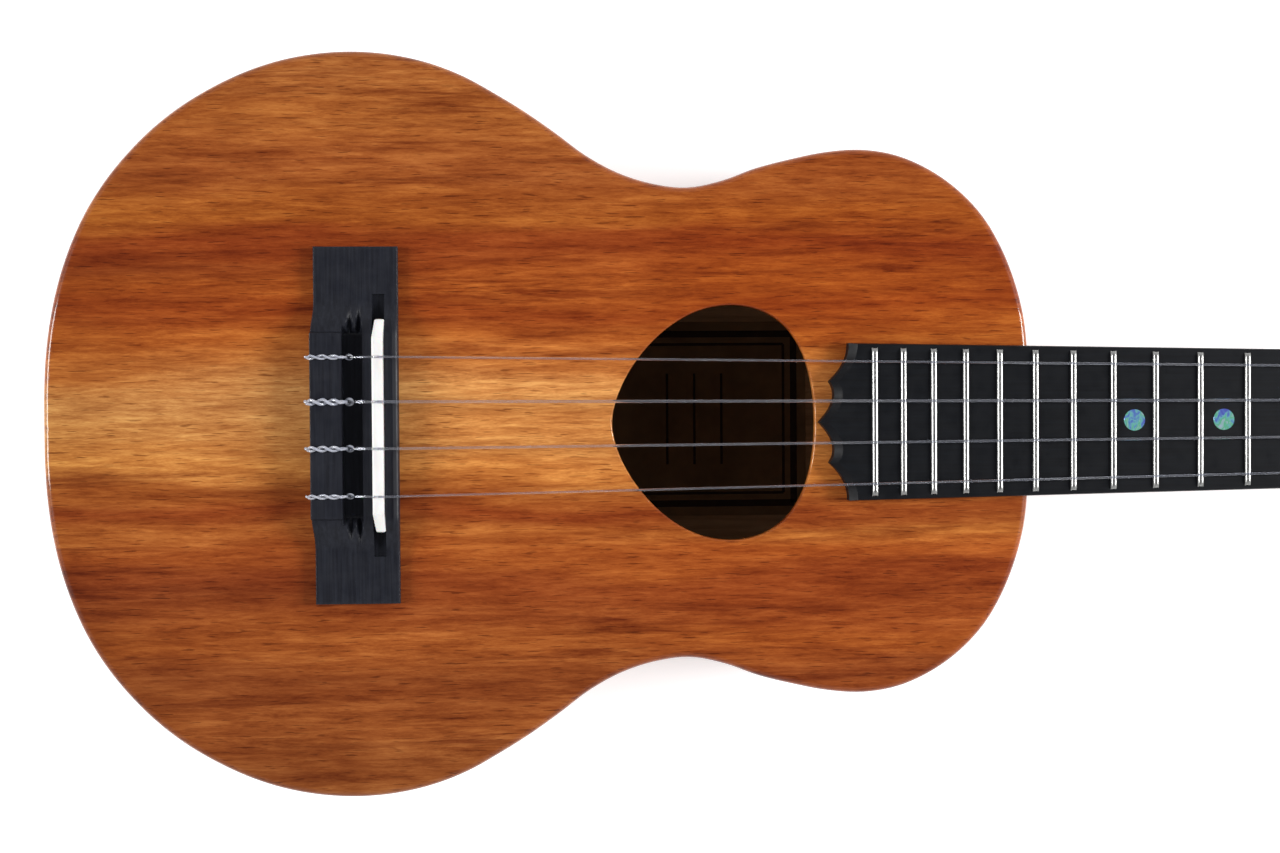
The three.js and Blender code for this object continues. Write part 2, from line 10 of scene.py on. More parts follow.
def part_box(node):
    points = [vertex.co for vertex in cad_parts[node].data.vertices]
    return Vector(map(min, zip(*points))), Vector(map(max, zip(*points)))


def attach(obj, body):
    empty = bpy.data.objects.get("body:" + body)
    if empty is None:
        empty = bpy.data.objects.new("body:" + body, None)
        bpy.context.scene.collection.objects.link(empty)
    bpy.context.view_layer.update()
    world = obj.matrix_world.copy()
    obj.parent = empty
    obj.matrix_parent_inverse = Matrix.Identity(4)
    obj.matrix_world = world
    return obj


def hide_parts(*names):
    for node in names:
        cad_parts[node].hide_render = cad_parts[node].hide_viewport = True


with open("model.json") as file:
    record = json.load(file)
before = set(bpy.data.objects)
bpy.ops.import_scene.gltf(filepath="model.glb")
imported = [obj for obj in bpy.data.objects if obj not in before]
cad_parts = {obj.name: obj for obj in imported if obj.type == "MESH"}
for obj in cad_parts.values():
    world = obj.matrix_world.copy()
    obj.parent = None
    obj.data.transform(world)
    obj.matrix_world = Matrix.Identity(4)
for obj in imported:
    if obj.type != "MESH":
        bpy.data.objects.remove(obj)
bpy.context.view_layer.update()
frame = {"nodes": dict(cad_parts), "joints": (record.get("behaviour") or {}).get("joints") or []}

# Lengths in this script are millimetres in the row's frame, and MM turns them into metres.
MM = 0.001
BODY = "instrument"
FULL_TURN = 2 * math.pi
QUARTER_TURN = math.pi / 2


# ---- places from the frame ----
def cad_box(node):
    """Lowest and highest corner of a CAD node, in millimetres."""
    low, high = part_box(node)
    return Vector(low) / MM, Vector(high) / MM


def joint_place(name):
    """Position in millimetres and axis of a joint."""
    joint = next(item for item in frame["joints"] if item["name"] == name)
    return Vector(joint["pos_m"]) / MM, Vector(joint["axis"]).normalized()


BACK_LOW, BACK_HIGH = cad_box("back_plate")
TOP_LOW, TOP_HIGH = cad_box("soundboard")
BOARD_LOW, BOARD_HIGH = cad_box("fingerboard")
NUT_LOW, NUT_HIGH = cad_box("nut")
BRIDGE_LOW, BRIDGE_HIGH = cad_box("bridge")
SADDLE_LOW, SADDLE_HIGH = cad_box("saddle")
PLATE = BACK_HIGH.z - BACK_LOW.z
BODY_TOP = TOP_HIGH.z
BOARD_TOP = BOARD_HIGH.z
NUT_X = NUT_LOW.x
HEAD_X = NUT_HIGH.x
HEEL_X = cad_box("neck")[0].x
SIDE_THICK = 2.0
SIDES = (("bass", 1), ("treble", -1))
FRETS = 19
TUNERS = (1, 2, 3, 4)
STRING_RADIUS = {"string_g": 0.33, "string_c": 0.45, "string_e": 0.40, "string_a": 0.33}

POST_AXIS = joint_place("post_1_turn")[1]
HEAD_ANGLE = math.atan2(POST_AXIS.x, POST_AXIS.z)
HEAD_FRAME = Matrix.Translation((HEAD_X, 0, BODY_TOP)) @ Matrix.Rotation(HEAD_ANGLE, 4, "Y")


# ---- numbers and curves ----
def ease(value, start, end):
    """0 before start, 1 after end, smooth between."""
    t = min(max((value - start) / (end - start), 0.0), 1.0)
    return t * t * (3 - 2 * t)


def arc(centre, radius, start, end, steps):
    """(x, y) pairs along an arc, both ends included, from angles in degrees."""
    angles = [math.radians(start + (end - start) * k / steps) for k in range(steps + 1)]
    return [(centre[0] + radius * math.cos(a), centre[1] + radius * math.sin(a)) for a in angles]


def circle(radius, count):
    """(x, y) pairs round the origin."""
    return arc((0, 0), radius, 0, 360, count)[:-1]


def catmull(points, per_span, closed):
    """Points of a smooth curve through the given ones, per_span for each stretch between two."""
    given = np.asarray(points, float)
    count = len(given)
    spans = count if closed else count - 1
    steps = np.linspace(0, 1, per_span, endpoint=False)
    result = []
    for i in range(spans):
        near = [i - 1, i, i + 1, i + 2]
        picked = [k % count if closed else min(max(k, 0), count - 1) for k in near]
        a, b, c, d = given[picked]
        for t in steps:
            bend = 2 * b + (c - a) * t + (2 * a - 5 * b + 4 * c - d) * t**2
            result.append(0.5 * (bend + (3 * b - a - 3 * c + d) * t**3))
    if not closed:
        result.append(given[-1])
    return np.array(result)


def bezier_at(points, t):
    """The point of a Bezier curve at t."""
    level = [np.array(p, float) for p in points]
    while len(level) > 1:
        level = [a + (b - a) * t for a, b in zip(level, level[1:])]
    return level[0].tolist()


def bezier(points, count):
    """Points of a Bezier curve, without its last one."""
    return [tuple(bezier_at(points, k / count)) for k in range(count)]


def rounded_edge(radius, steps):
    """(inset, drop) pairs from a wall to a face over a quarter round."""
    return [(radius - x, radius - y) for x, y in arc((0, 0), radius, 0, 90, steps)]


def directions(path, closed=False):
    """Unit vectors along a path."""
    points = np.asarray(path, float)
    if closed:
        along = np.roll(points, -1, axis=0) - np.roll(points, 1, axis=0)
    else:
        along = np.gradient(points, axis=0)
    return along / np.linalg.norm(along, axis=1)[:, None]


def inward(loop, distance):
    """A closed flat outline moved to its inside by a distance. The outline turns anticlockwise."""
    along = directions(loop, closed=True)
    return np.asarray(loop, float) + distance * np.column_stack([-along[:, 1], along[:, 0]])


def at_height(loop, z):
    return [Vector((x, y, z)) for x, y in loop]


def at_y(section, y):
    return [Vector((x, y, z)) for x, z in section]


def domed(centre, half, low, spring, rise, steps, power=1.0):
    """(x, z) pairs of a section with straight sides up to the spring line and a domed top."""
    dome = [(centre + half * x, spring + rise * z**power) for x, z in arc((0, 0), 1, 180, 0, steps)]
    return [(centre - half, low)] + dome + [(centre + half, low)]


# ---- parts: (vertices, faces) pairs in millimetres ----
def merge(*parts):
    """Several parts as one."""
    verts, faces = [], []
    for part_verts, part_faces in parts:
        start = len(verts)
        verts += [Vector(v) for v in part_verts]
        faces += [tuple(start + i for i in face) for face in part_faces]
    return verts, faces


def moved(part, matrix):
    """A part with a matrix applied."""
    verts, faces = part
    return [matrix @ Vector(v) for v in verts], faces


def loft(rings, closed_ends=True, loop=False):
    """A skin over rings of equal count, with flat caps, or joined end to end with loop."""
    count = len(rings[0])
    faces = []
    for i in range(len(rings) if loop else len(rings) - 1):
        k = (i + 1) % len(rings)
        for j in range(count):
            n = (j + 1) % count
            faces.append((i * count + j, i * count + n, k * count + n, k * count + j))
    if closed_ends and not loop:
        faces.append(tuple(reversed(range(count))))
        faces.append(tuple(range((len(rings) - 1) * count, len(rings) * count)))
    return [Vector(v) for ring in rings for v in ring], faces


def lathe(profile, sides=48, place=Matrix()):
    """A turned solid about Z from (radius, z) pairs that start and end on the axis."""
    rings = [at_height(circle(radius, sides), z) for radius, z in profile[1:-1]]
    return moved(loft(rings), place)


def rod(radius, length, sides, place):
    """A plain cylinder that rises from the origin along Z."""
    return lathe([(0, 0), (radius, 0), (radius, length), (0, length)], sides, place)


def block(low, high):
    """A box between two corners."""
    corners = ((low[0], low[1]), (high[0], low[1]), (high[0], high[1]), (low[0], high[1]))
    return loft([at_height(corners, low[2]), at_height(corners, high[2])])


def slab(outline, low, high, eased):
    """A flat slab with eased top and bottom edges, from an anticlockwise outline."""
    inner = inward(outline, eased)
    levels = ((inner, low), (outline, low + eased), (outline, high - eased), (inner, high))
    return loft([at_height(loop, z) for loop, z in levels])


def tube(points, radius, sides=12, ends=0.6):
    """A round tube along a path of points, with domed ends."""
    path = [Vector(p) for p in points]
    first = (path[0] - path[1]).normalized()
    last = (path[-1] - path[-2]).normalized()
    path = [path[0] + first * radius * ends] + path + [path[-1] + last * radius * ends]
    radii = [radius * 0.45] + [radius] * len(points) + [radius * 0.45]
    side = None
    rings = []
    for i, place in enumerate(path):
        tangent = (path[min(i + 1, len(path) - 1)] - path[max(i - 1, 0)]).normalized()
        side = tangent.orthogonal() if side is None else side
        side = (side - tangent * side.dot(tangent)).normalized()
        other = tangent.cross(side)
        rings.append([place + side * x + other * y for x, y in circle(radii[i], sides)])
    return loft(rings)


def flat_fill(loops, z):
    """Triangles of a flat region between an outer loop and its holes."""
    tool = bmesh.new()
    edges = []
    for loop in loops:
        corners = [tool.verts.new((x, y, z)) for x, y in loop]
        for i, corner in enumerate(corners):
            edges.append(tool.edges.new((corner, corners[(i + 1) % len(corners)])))
    bmesh.ops.triangle_fill(tool, use_beauty=True, use_dissolve=False, edges=edges)
    tool.verts.index_update()
    part = [v.co.copy() for v in tool.verts], [[v.index for v in f.verts] for f in tool.faces]
    tool.free()
    return part


# ---- pieces ----
def mesh_object(name, part, weld=0.0):
    """An object in the scene, with its faces turned outwards. weld joins vertices that close, in metres."""
    verts, faces = part
    mesh = bpy.data.meshes.new(name)
    mesh.from_pydata([tuple(Vector(v) * MM) for v in verts], [], [tuple(f) for f in faces])
    mesh.validate()
    tool = bmesh.new()
    tool.from_mesh(mesh)
    if weld:
        bmesh.ops.remove_doubles(tool, verts=tool.verts, dist=weld)
    bmesh.ops.recalc_face_normals(tool, faces=tool.faces)
    tool.to_mesh(mesh)
    tool.free()
    piece = bpy.data.objects.new(name, mesh)
    bpy.context.scene.collection.objects.link(piece)
    return piece


def dress(piece, look, replaces=(), body=BODY, sharp=35):
    """Gives a piece its look and body, and smooth faces but for edges over the sharp angle."""
    material, slot = LOOK[look]
    piece.data.materials.clear()
    piece.data.materials.append(material)
    piece.data.shade_smooth()
    piece.data.set_sharp_from_angle(angle=math.radians(sharp))
    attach(piece, body)
    if replaces:
        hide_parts(*replaces)
    return piece


def build(name, part, look, replaces=(), body=BODY, sharp=35):
    return dress(mesh_object(name, part, weld=1e-7), look, replaces, body, sharp)


def combine(piece, other, operation):
    """Joins or cuts a piece with another object, which is used up."""
    step = piece.modifiers.new("cut", "BOOLEAN")
    step.operation = operation
    step.object = other
    step.solver = "EXACT"
    graph = bpy.context.evaluated_depsgraph_get()
    baked = bpy.data.meshes.new_from_object(piece.evaluated_get(graph))
    piece.modifiers.clear()
    piece.data = baked
    used = other.data
    bpy.data.objects.remove(other)
    bpy.data.meshes.remove(used)


def clean_cuts(piece):
    """Removes the slivers that booleans leave."""
    tool = bmesh.new()
    tool.from_mesh(piece.data)
    bmesh.ops.remove_doubles(tool, verts=tool.verts, dist=2e-6)
    bmesh.ops.dissolve_degenerate(tool, edges=tool.edges, dist=1e-6)
    tool.to_mesh(piece.data)
    tool.free()


# ---- outlines read from the CAD soundboard ----
def face_loops(node, height):
    """The boundary loops of a CAD node's flat face at a height, as anticlockwise (x, y) arrays."""
    mesh = frame["nodes"][node].data
    places = {}
    for i, vertex in enumerate(mesh.vertices):
        x, y, z = vertex.co / MM
        if abs(z - height) < 0.01:
            places[i] = (round(x, 3), round(y, 3))
    uses = {}
    for polygon in mesh.polygons:
        corners = list(polygon.vertices)
        if not all(c in places for c in corners):
            continue
        for a, b in zip(corners, corners[1:] + corners[:1]):
            key = frozenset((places[a], places[b]))
            uses[key] = uses.get(key, 0) + 1
    follow = {}
    for key, count in uses.items():
        if count == 1 and len(key) == 2:
            a, b = tuple(key)
            follow.setdefault(a, []).append(b)
            follow.setdefault(b, []).append(a)
    loops = []
    while follow:
        start = min(follow)
        loop, here, before = [], start, None
        while here != start or not loop:
            loop.append(here)
            onward = [p for p in follow.pop(here) if p != before]
            before, here = here, onward[0]
        points = np.array(loop)
        ahead = np.roll(points, -1, axis=0)
        turn = np.sum(points[:, 0] * ahead[:, 1] - points[:, 1] * ahead[:, 0])
        loops.append(points if turn > 0 else points[::-1])
    return sorted(loops, key=lambda points: -np.ptp(points[:, 0]))


OUTLINE_CAD, HOLE_CAD = face_loops("soundboard", BODY_TOP)
OUTLINE = np.clip(catmull(OUTLINE_CAD, 5, True), OUTLINE_CAD.min(axis=0), OUTLINE_CAD.max(axis=0))
HOLE = catmull(HOLE_CAD, 4, True)


def half_outline(side):
    """The outline from tail to neck on one side (+1 for +Y), starting and ending on y = 0."""
    points = OUTLINE * [1, side]
    order = np.argsort(np.arctan2(points[:, 1], -points[:, 0]))
    upper = [points[i] for i in order if points[i][1] > 0.01]
    ends = [OUTLINE[:, 0].min(), 0], [OUTLINE[:, 0].max(), 0]
    return np.array([ends[0]] + upper + [ends[1]]) * [1, side]


# ---- materials ----
class Shade:
    """Small helper to wire a node material."""

    def __init__(self, name, source="Object"):
        self.source = source
        self.material = bpy.data.materials.new(name)
        self.material.use_nodes = True
        self.nodes = self.material.node_tree.nodes
        self.shader = self.nodes["Principled BSDF"]
        self.coordinates = None

    def put(self, target, value):
        """Sets an input to a value or to the output of another node."""
        if hasattr(value, "links"):
            self.material.node_tree.links.new(value, target)
        else:
            target.default_value = value

    def fill(self, node, **inputs):
        for key, value in inputs.items():
            self.put(node.inputs[key.replace("_", " ")], value)
        return node

    def node(self, kind, **inputs):
        return self.fill(self.nodes.new("ShaderNode" + kind), **inputs)

    def set(self, **values):
        self.fill(self.shader, **values)

    def place(self):
        """Metres on the object, or its UV map."""
        if self.coordinates is None:
            self.coordinates = self.node("TexCoord").outputs[self.source]
        return self.coordinates

    def noise(self, scale, detail=3.0, rough=0.5, distort=0.0, turn=0.0):
        """Noise stretched by a scale for each axis, and turned about Z."""
        mapping = self.node("Mapping", Vector=self.place(), Scale=scale, Rotation=(0, 0, turn))
        cloud = self.node("TexNoise", Vector=mapping.outputs["Vector"], Scale=1.0, Detail=detail)
        return self.fill(cloud, Roughness=rough, Distortion=distort).outputs["Fac"]

    def math(self, kind, *values):
        node = self.node("Math")
        node.operation = kind
        for target, value in zip(node.inputs, values):
            self.put(target, value)
        return node.outputs[0]

    def ramp(self, factor, stops, smooth="LINEAR"):
        """Colours by (position, colour) stops. A single number is a grey."""
        node = self.node("ValToRGB", Fac=factor)
        node.color_ramp.interpolation = smooth
        items = node.color_ramp.elements
        while len(items) < len(stops):
            items.new(0.5)
        for item, (position, color) in zip(items, stops):
            item.position = position
            item.color = (*color, 1) if isinstance(color, tuple) else (color, color, color, 1)
        return node.outputs["Color"]

    def mix(self, factor, a, b, blend="MIX"):
        node = self.node("Mix")
        node.data_type = "RGBA"
        node.blend_type = blend
        b = b if hasattr(b, "links") else (*b, 1)
        return self.fill(node, Factor=factor, A=a, B=b).outputs["Result"]

    def multiply(self, a, b, factor=1.0):
        return self.mix(factor, a, b, "MULTIPLY")

    def bump(self, height, strength, distance):
        node = self.node("Bump", Strength=strength, Distance=distance, Height=height)
        self.set(Normal=node.outputs["Normal"])


def srgb(red, green, blue):
    """Linear colour of an 8 bit screen colour."""
    parts = (red / 255, green / 255, blue / 255)
    return tuple(p / 12.92 if p <= 0.04045 else ((p + 0.055) / 1.055) ** 2.4 for p in parts)


def clouded(name, noise, stops, **values):
    """A material whose colour follows a noise through (position, 8 bit colour) stops."""
    shade = Shade(name)
    cloud = shade.noise(*noise)
    shade.set(Base_Color=shade.ramp(cloud, [(at, srgb(*rgb)) for at, rgb in stops]))
    shade.set(**values)
    return shade, cloud


# Colour stops of the top's broad figure as (y in mm, 8 bit colour), from -Y to +Y.
TOP_BANDS = (
    (-108, (146, 80, 36)), (-86, (148, 77, 32)), (-76, (139, 69, 28)), (-66, (161, 84, 34)),
    (-57, (147, 71, 28)), (-47, (144, 66, 25)), (-40, (170, 87, 34)), (-34, (182, 101, 43)),
    (-26, (150, 68, 25)), (-20, (168, 88, 35)), (-13, (200, 121, 55)), (-2, (208, 134, 68)),
    (10, (214, 142, 76)), (19, (187, 106, 47)), (26, (172, 88, 33)), (34, (150, 66, 21)),
    (41, (168, 83, 29)), (52, (143, 62, 21)), (60, (164, 86, 31)), (76, (155, 80, 33)),
    (92, (167, 93, 39)), (108, (156, 86, 38)),
)

# What the same bands are multiplied by near the tail, as (y in mm, factors), and near the neck.
TAIL_TONES = (
    (-80, (0.90, 0.88, 0.88)), (-62, (0.94, 0.94, 0.94)), (-53, (0.72, 0.64, 0.66)),
    (-40, (0.84, 0.78, 0.80)), (-28, (0.88, 0.86, 0.84)), (-12, (1.00, 1.10, 1.20)),
    (8, (0.90, 0.96, 1.04)), (28, (1.04, 1.08, 1.06)), (38, (1.00, 1.00, 0.96)),
    (44, (0.66, 0.56, 0.58)), (50, (0.92, 0.86, 0.84)), (64, (1.04, 1.08, 1.00)), (78, (0.96, 0.94, 0.92)),
)
NECK_TONES = (
    (-76, (0.97, 0.86, 0.80)), (-64, (0.96, 0.84, 0.68)), (-52, (0.98, 0.88, 0.77)),
    (-41, (0.93, 0.82, 0.70)), (-29, (1.06, 1.15, 1.08)), (-14, (0.94, 0.86, 0.74)),
    (12, (0.86, 0.74, 0.62)), (22, (1.00, 0.98, 0.84)), (31, (1.08, 1.04, 0.78)),
    (42, (0.90, 0.78, 0.59)), (54, (0.98, 0.86, 0.66)), (68, (1.00, 0.92, 0.78)),
)


def figure_koa(shade, color, strength=1.0):
    """Lays koa's figure over a colour: mottling, dark wisps, fibres, curl and pores. Grain runs along X."""
    mottle = shade.noise((14, 75, 75), 4.0, 0.6, 0.3)
    tone = shade.ramp(mottle, [(0.30, (0.80, 0.70, 0.62)), (0.70, (1.18, 1.28, 1.36))])
    color = shade.multiply(color, tone, strength)

    wisp = shade.ramp(shade.noise((16, 300, 300), 5.0, 0.66, 0.6), [(0.50, 0), (0.66, 1)])
    zone = shade.ramp(shade.noise((9, 42, 42), 3.0, 0.55, 0.4), [(0.42, 0.15), (0.60, 1)])
    share = shade.math("MULTIPLY", shade.math("MULTIPLY", wisp, zone), strength)
    color = shade.mix(share, color, shade.multiply(color, (0.52, 0.36, 0.30)))

    fibres = shade.noise((36, 320, 320), 5.0, 0.86, 0.2)
    fibre_stops = [(0.28, (0.49, 0.31, 0.22)), (0.50, (1.0, 1.0, 1.0)), (0.72, (1.52, 1.92, 2.24))]
    color = shade.multiply(color, shade.ramp(fibres, fibre_stops))

    curl = shade.noise((46, 16, 16), 3.0, 0.5, 0.8, turn=0.35)
    wave = shade.ramp(curl, [(0.35, (0.94, 0.92, 0.90)), (0.65, (1.06, 1.08, 1.10))])
    color = shade.multiply(color, wave, 0.8)

    pores = shade.noise((130, 2100, 2100), 1.0, 0.4)
    color = shade.multiply(color, shade.ramp(pores, [(0.650, 1), (0.700, (0.36, 0.26, 0.20))]), 0.8)
    shade.set(Base_Color=color)
    shade.set(Roughness=shade.ramp(fibres, [(0.3, 0.34), (0.7, 0.42)]))
    shade.set(Coat_Weight=0.6, Coat_Roughness=0.06, IOR=1.45, Specular_IOR_Level=0.15)
    shade.bump(pores, 0.12, 0.00004)
    return shade.material


def koa_top():
    """The soundboard: broad bands that wander a little across the grain, under the koa figure, with painted
    shade towards the tail end.
    """
    shade = Shade("koa_top")
    split = shade.node("SeparateXYZ", Vector=shade.place())
    sway = shade.noise((6, 40, 1), 3.0, 0.55, 0.2)
    wander = shade.math("MULTIPLY_ADD", shade.math("SUBTRACT", sway, 0.5), 0.030, split.outputs["Y"])
    half = TOP_HIGH.y
    across = shade.math("MULTIPLY_ADD", wander, 1 / (2 * half * MM), 0.5)
    along = shade.math("MULTIPLY_ADD", split.outputs["X"], 1 / (2 * TOP_HIGH.x * MM), 0.5)

    def banded(stops, smooth="EASE"):
        return shade.ramp(across, [((y + half) / (2 * half), color) for y, color in stops], smooth)

    bands = banded([(y, srgb(*rgb)) for y, rgb in TOP_BANDS])
    near_tail = shade.ramp(along, [(0.2, 1), (0.45, 0)], "EASE")
    near_neck = shade.ramp(along, [(0.54, 0), (0.70, 1)], "EASE")
    color = shade.mix(near_tail, bands, shade.multiply(bands, banded(TAIL_TONES)))
    color = shade.mix(near_neck, color, shade.multiply(bands, banded(NECK_TONES)))
    # Painted shade: the colour darkens towards the tail end, evening out the light that falls there.
    color = shade.multiply(color, shade.ramp(along, [(0.02, (0.86, 0.85, 0.78)), (0.16, 1)]))
    calm = banded([(-18, 1), (-11, 0.35), (14, 0.35), (22, 1)], "LINEAR")
    return figure_koa(shade, color, calm)


def koa_plain(name, dark, light, source="Object"):
    """Koa of the back, sides and headstock, with bands from broad noise."""
    shade = Shade(name, source)
    broad = shade.noise((3, 38, 38), 2.0, 0.55, 0.5)
    return figure_koa(shade, shade.ramp(broad, [(0.36, srgb(*dark)), (0.64, srgb(*light))]))


def koa_inside():
    """Unfinished koa on the inside faces: paler and dull."""
    stops = ((0.3, (150, 114, 80)), (0.7, (190, 154, 116)))
    values = {"Roughness": 0.8, "Specular_IOR_Level": 0.2}
    return clouded("koa_inside", ((30, 500, 500), 4.0, 0.7, 0.2), stops, **values)[0].material


def mahogany():
    shade = Shade("mahogany")
    broad = shade.noise((5, 90, 90), 3.0, 0.55, 0.3)
    color = shade.ramp(broad, [(0.35, srgb(104, 56, 32)), (0.65, srgb(142, 82, 48))])
    pores = shade.noise((110, 2400, 2400), 1.0, 0.4)
    dash = shade.ramp(pores, [(0.62, 1), (0.69, (0.45, 0.38, 0.33))])
    shade.set(Base_Color=shade.multiply(color, dash, 0.8))
    shade.set(Roughness=0.42, Coat_Weight=0.25, Coat_Roughness=0.2)
    shade.bump(pores, 0.2, 0.00006)
    return shade.material


def spruce():
    stops = ((0.4, (222, 192, 146)), (0.62, (190, 150, 100)))
    shade, rings = clouded("spruce", ((6, 700, 700), 2.0, 0.5, 0.1), stops, Roughness=0.75)
    shade.bump(rings, 0.2, 0.00005)
    return shade.material


def ebony(name, low, high, grain, roughness, gloss):
    stops = ((0.35, low), (0.7, high))
    shade, fibres = clouded(name, (grain, 4.0, 0.6, 0.1), stops, Specular_IOR_Level=gloss)
    specks = shade.noise((260, 260, 260), 2.0, 0.6)
    shade.set(Roughness=shade.ramp(specks, [(0.3, roughness - 0.06), (0.7, roughness + 0.08)]))
    shade.bump(fibres, 0.2, 0.00003)
    return shade.material


def bone():
    stops = ((0.35, (240, 239, 235)), (0.65, (252, 252, 250)))
    values = {"Roughness": 0.3, "Subsurface_Weight": 0.15, "Subsurface_Scale": 0.001}
    return clouded("bone", ((180, 60, 180), 4.0, 0.6), stops, **values)[0].material


def metal(name, color, roughness, brush):
    shade = Shade(name)
    lines = shade.noise(brush, 2.0, 0.6)
    shade.set(Base_Color=shade.ramp(lines, [(0.3, tuple(0.9 * c for c in color)), (0.7, color)]))
    shade.set(Roughness=shade.ramp(lines, [(0.3, roughness * 0.8), (0.7, roughness * 1.25)]))
    shade.set(Metallic=1.0)
    return shade.material


def string_clear(name, clear):
    """Clear nylon. The ties use a less clear copy that looks brighter over the dark bridge: a painted sheen
    in place of reflections.
    """
    stops = ((0.4, (214, 218, 232)), (0.6, (236, 238, 246)))
    values = {"Roughness": 0.08, "IOR": 1.55, "Transmission_Weight": clear, "Specular_IOR_Level": 0.8}
    return clouded(name, ((40, 900, 900), 1.0, 0.5), stops, **values)[0].material


def abalone():
    stops = (
        (0.30, (86, 92, 190)), (0.42, (96, 130, 200)), (0.50, (120, 190, 190)),
        (0.58, (96, 186, 140)), (0.68, (170, 190, 210)), (0.78, (150, 110, 200)),
    )
    values = {"Roughness": 0.22, "Coat_Weight": 0.6, "Coat_Roughness": 0.08, "Metallic": 0.25}
    return clouded("abalone", ((420, 260, 300), 3.0, 0.6, 1.2), stops, **values)[0].material


def paper():
    stops = ((0.3, (112, 86, 58)), (0.7, (140, 108, 74)))
    return clouded("paper", ((60, 60, 60), 4.0, 0.6), stops, Roughness=0.9)[0].material


def print_ink():
    stops = ((0.3, (38, 24, 15)), (0.7, (54, 34, 22)))
    return clouded("label_ink", ((300, 300, 300), 2.0, 0.5), stops, Roughness=0.85)[0].material


# Black plastic of the buttons. The same black marks the gear screws' slots as painted shade.
def button_black_and_slot_shade():
    stops = ((0.35, (20, 19, 20)), (0.7, (34, 32, 33)))
    values = {"Roughness": 0.22, "Coat_Weight": 0.4, "Coat_Roughness": 0.08}
    return clouded("button_black_and_slot_shade", ((150, 150, 150), 3.0, 0.6), stops, **values)[0].material


BARE_KOA = koa_inside()
BLACK = button_black_and_slot_shade()
BRIDGE_EBONY = ebony("bridge_ebony", (23, 24, 31), (36, 38, 46), (1300, 45, 1300), 0.42, 0.3)
BOARD_EBONY = ebony("board_ebony", (8, 9, 13), (14, 17, 22), (30, 1500, 1500), 0.5, 0.2)

# Each look with the record's slot for it.
LOOK = {
    "koa_top": (koa_top(), "koa_top"),
    "koa_back": (koa_plain("koa_back", (128, 64, 24), (184, 106, 44)), "koa_back"),
    "koa_side": (koa_plain("koa_side", (122, 58, 22), (166, 88, 35), "UV"), "koa_sides"),
    "koa_face": (koa_plain("koa_face", (134, 64, 24), (190, 112, 48)), "koa_back"),
    "mahogany": (mahogany(), "mahogany"),
    "spruce": (spruce(), "spruce"),
    "bridge": (BRIDGE_EBONY, "ebony"),
    "board": (BOARD_EBONY, "ebony"),
    "bone": (bone(), "bone"),
    "fret": (metal("fret_metal", srgb(188, 188, 185), 0.3, (900, 60, 900)), "fret_wire"),
    "nickel": (metal("nickel", srgb(214, 212, 206), 0.22, (500, 500, 500)), "tuner_metal"),
    "string": (string_clear("string_clear", 0.92), "string"),
    # Painted sheen: the ties' copy lets less light through, so that they show bright over the ebony.
    "tie": (string_clear("string_tie_painted_bright", 0.45), "string"),
    "abalone": (abalone(), "bone"),
    "paper": (paper(), "paper"),
    "ink": (print_ink(), "paper"),
    "button": (BLACK, "tuner_button"),
    # The screw slot's look is painted shade: black where the slot's hollow is shaded.
    "screw_slot_shade": (BLACK, "tuner_metal"),
}


# ---- camera, light and floor ----
CAMERA_PLACE = (-8.96, 11.87, BODY_TOP + 600)
CAMERA_TURN = (-1.199, -3.604, -0.364)
CAMERA_LENS = 56.96
FLOOR_HALF = 6.0
FLOOR_Z = -0.0004
BOX_SIZE = (0.6, 0.9)


def make_camera():
    """Looks straight down on the soundboard, a little off the vertical."""
    data = bpy.data.cameras.new("camera")
    data.sensor_fit = "HORIZONTAL"
    data.sensor_width = 36
    data.lens = CAMERA_LENS
    data.clip_start = 0.01
    data.clip_end = 20
    camera = bpy.data.objects.new("camera", data)
    camera.location = Vector(CAMERA_PLACE) * MM
    camera.rotation_euler = [math.radians(a) for a in CAMERA_TURN]
    bpy.context.scene.collection.objects.link(camera)
    bpy.context.scene.camera = camera


def make_world():
    """Soft light all round, dim overhead so that level faces reflect little."""
    world = bpy.data.worlds.new("world")
    bpy.context.scene.world = world
    world.use_nodes = True
    nodes, links = world.node_tree.nodes, world.node_tree.links
    place = nodes.new("ShaderNodeTexCoord")
    split = nodes.new("ShaderNodeSeparateXYZ")
    ramp = nodes.new("ShaderNodeValToRGB")
    links.new(place.outputs["Generated"], split.inputs[0])
    links.new(split.outputs["Z"], ramp.inputs["Fac"])
    links.new(ramp.outputs["Color"], nodes["Background"].inputs["Color"])
    items = ramp.color_ramp.elements
    items[0].position, items[0].color = 0.0, (0.85, 0.86, 0.88, 1)
    items[1].position, items[1].color = 0.90, (0.12, 0.12, 0.13, 1)
    items.new(0.70).color = (0.9, 0.9, 0.92, 1)
    nodes["Background"].inputs["Strength"].default_value = 0.62


def make_light(name, place, target, power):
    """A soft box that faces its target, in metres and watts."""
    data = bpy.data.lights.new(name, "AREA")
    data.shape = "RECTANGLE"
    data.size, data.size_y = BOX_SIZE
    data.energy = power
    light = bpy.data.objects.new(name, data)
    light.location = place
    direction = Vector(target) - Vector(place)
    light.rotation_euler = direction.to_track_quat("-Z", "Y").to_euler()
    bpy.context.scene.collection.objects.link(light)


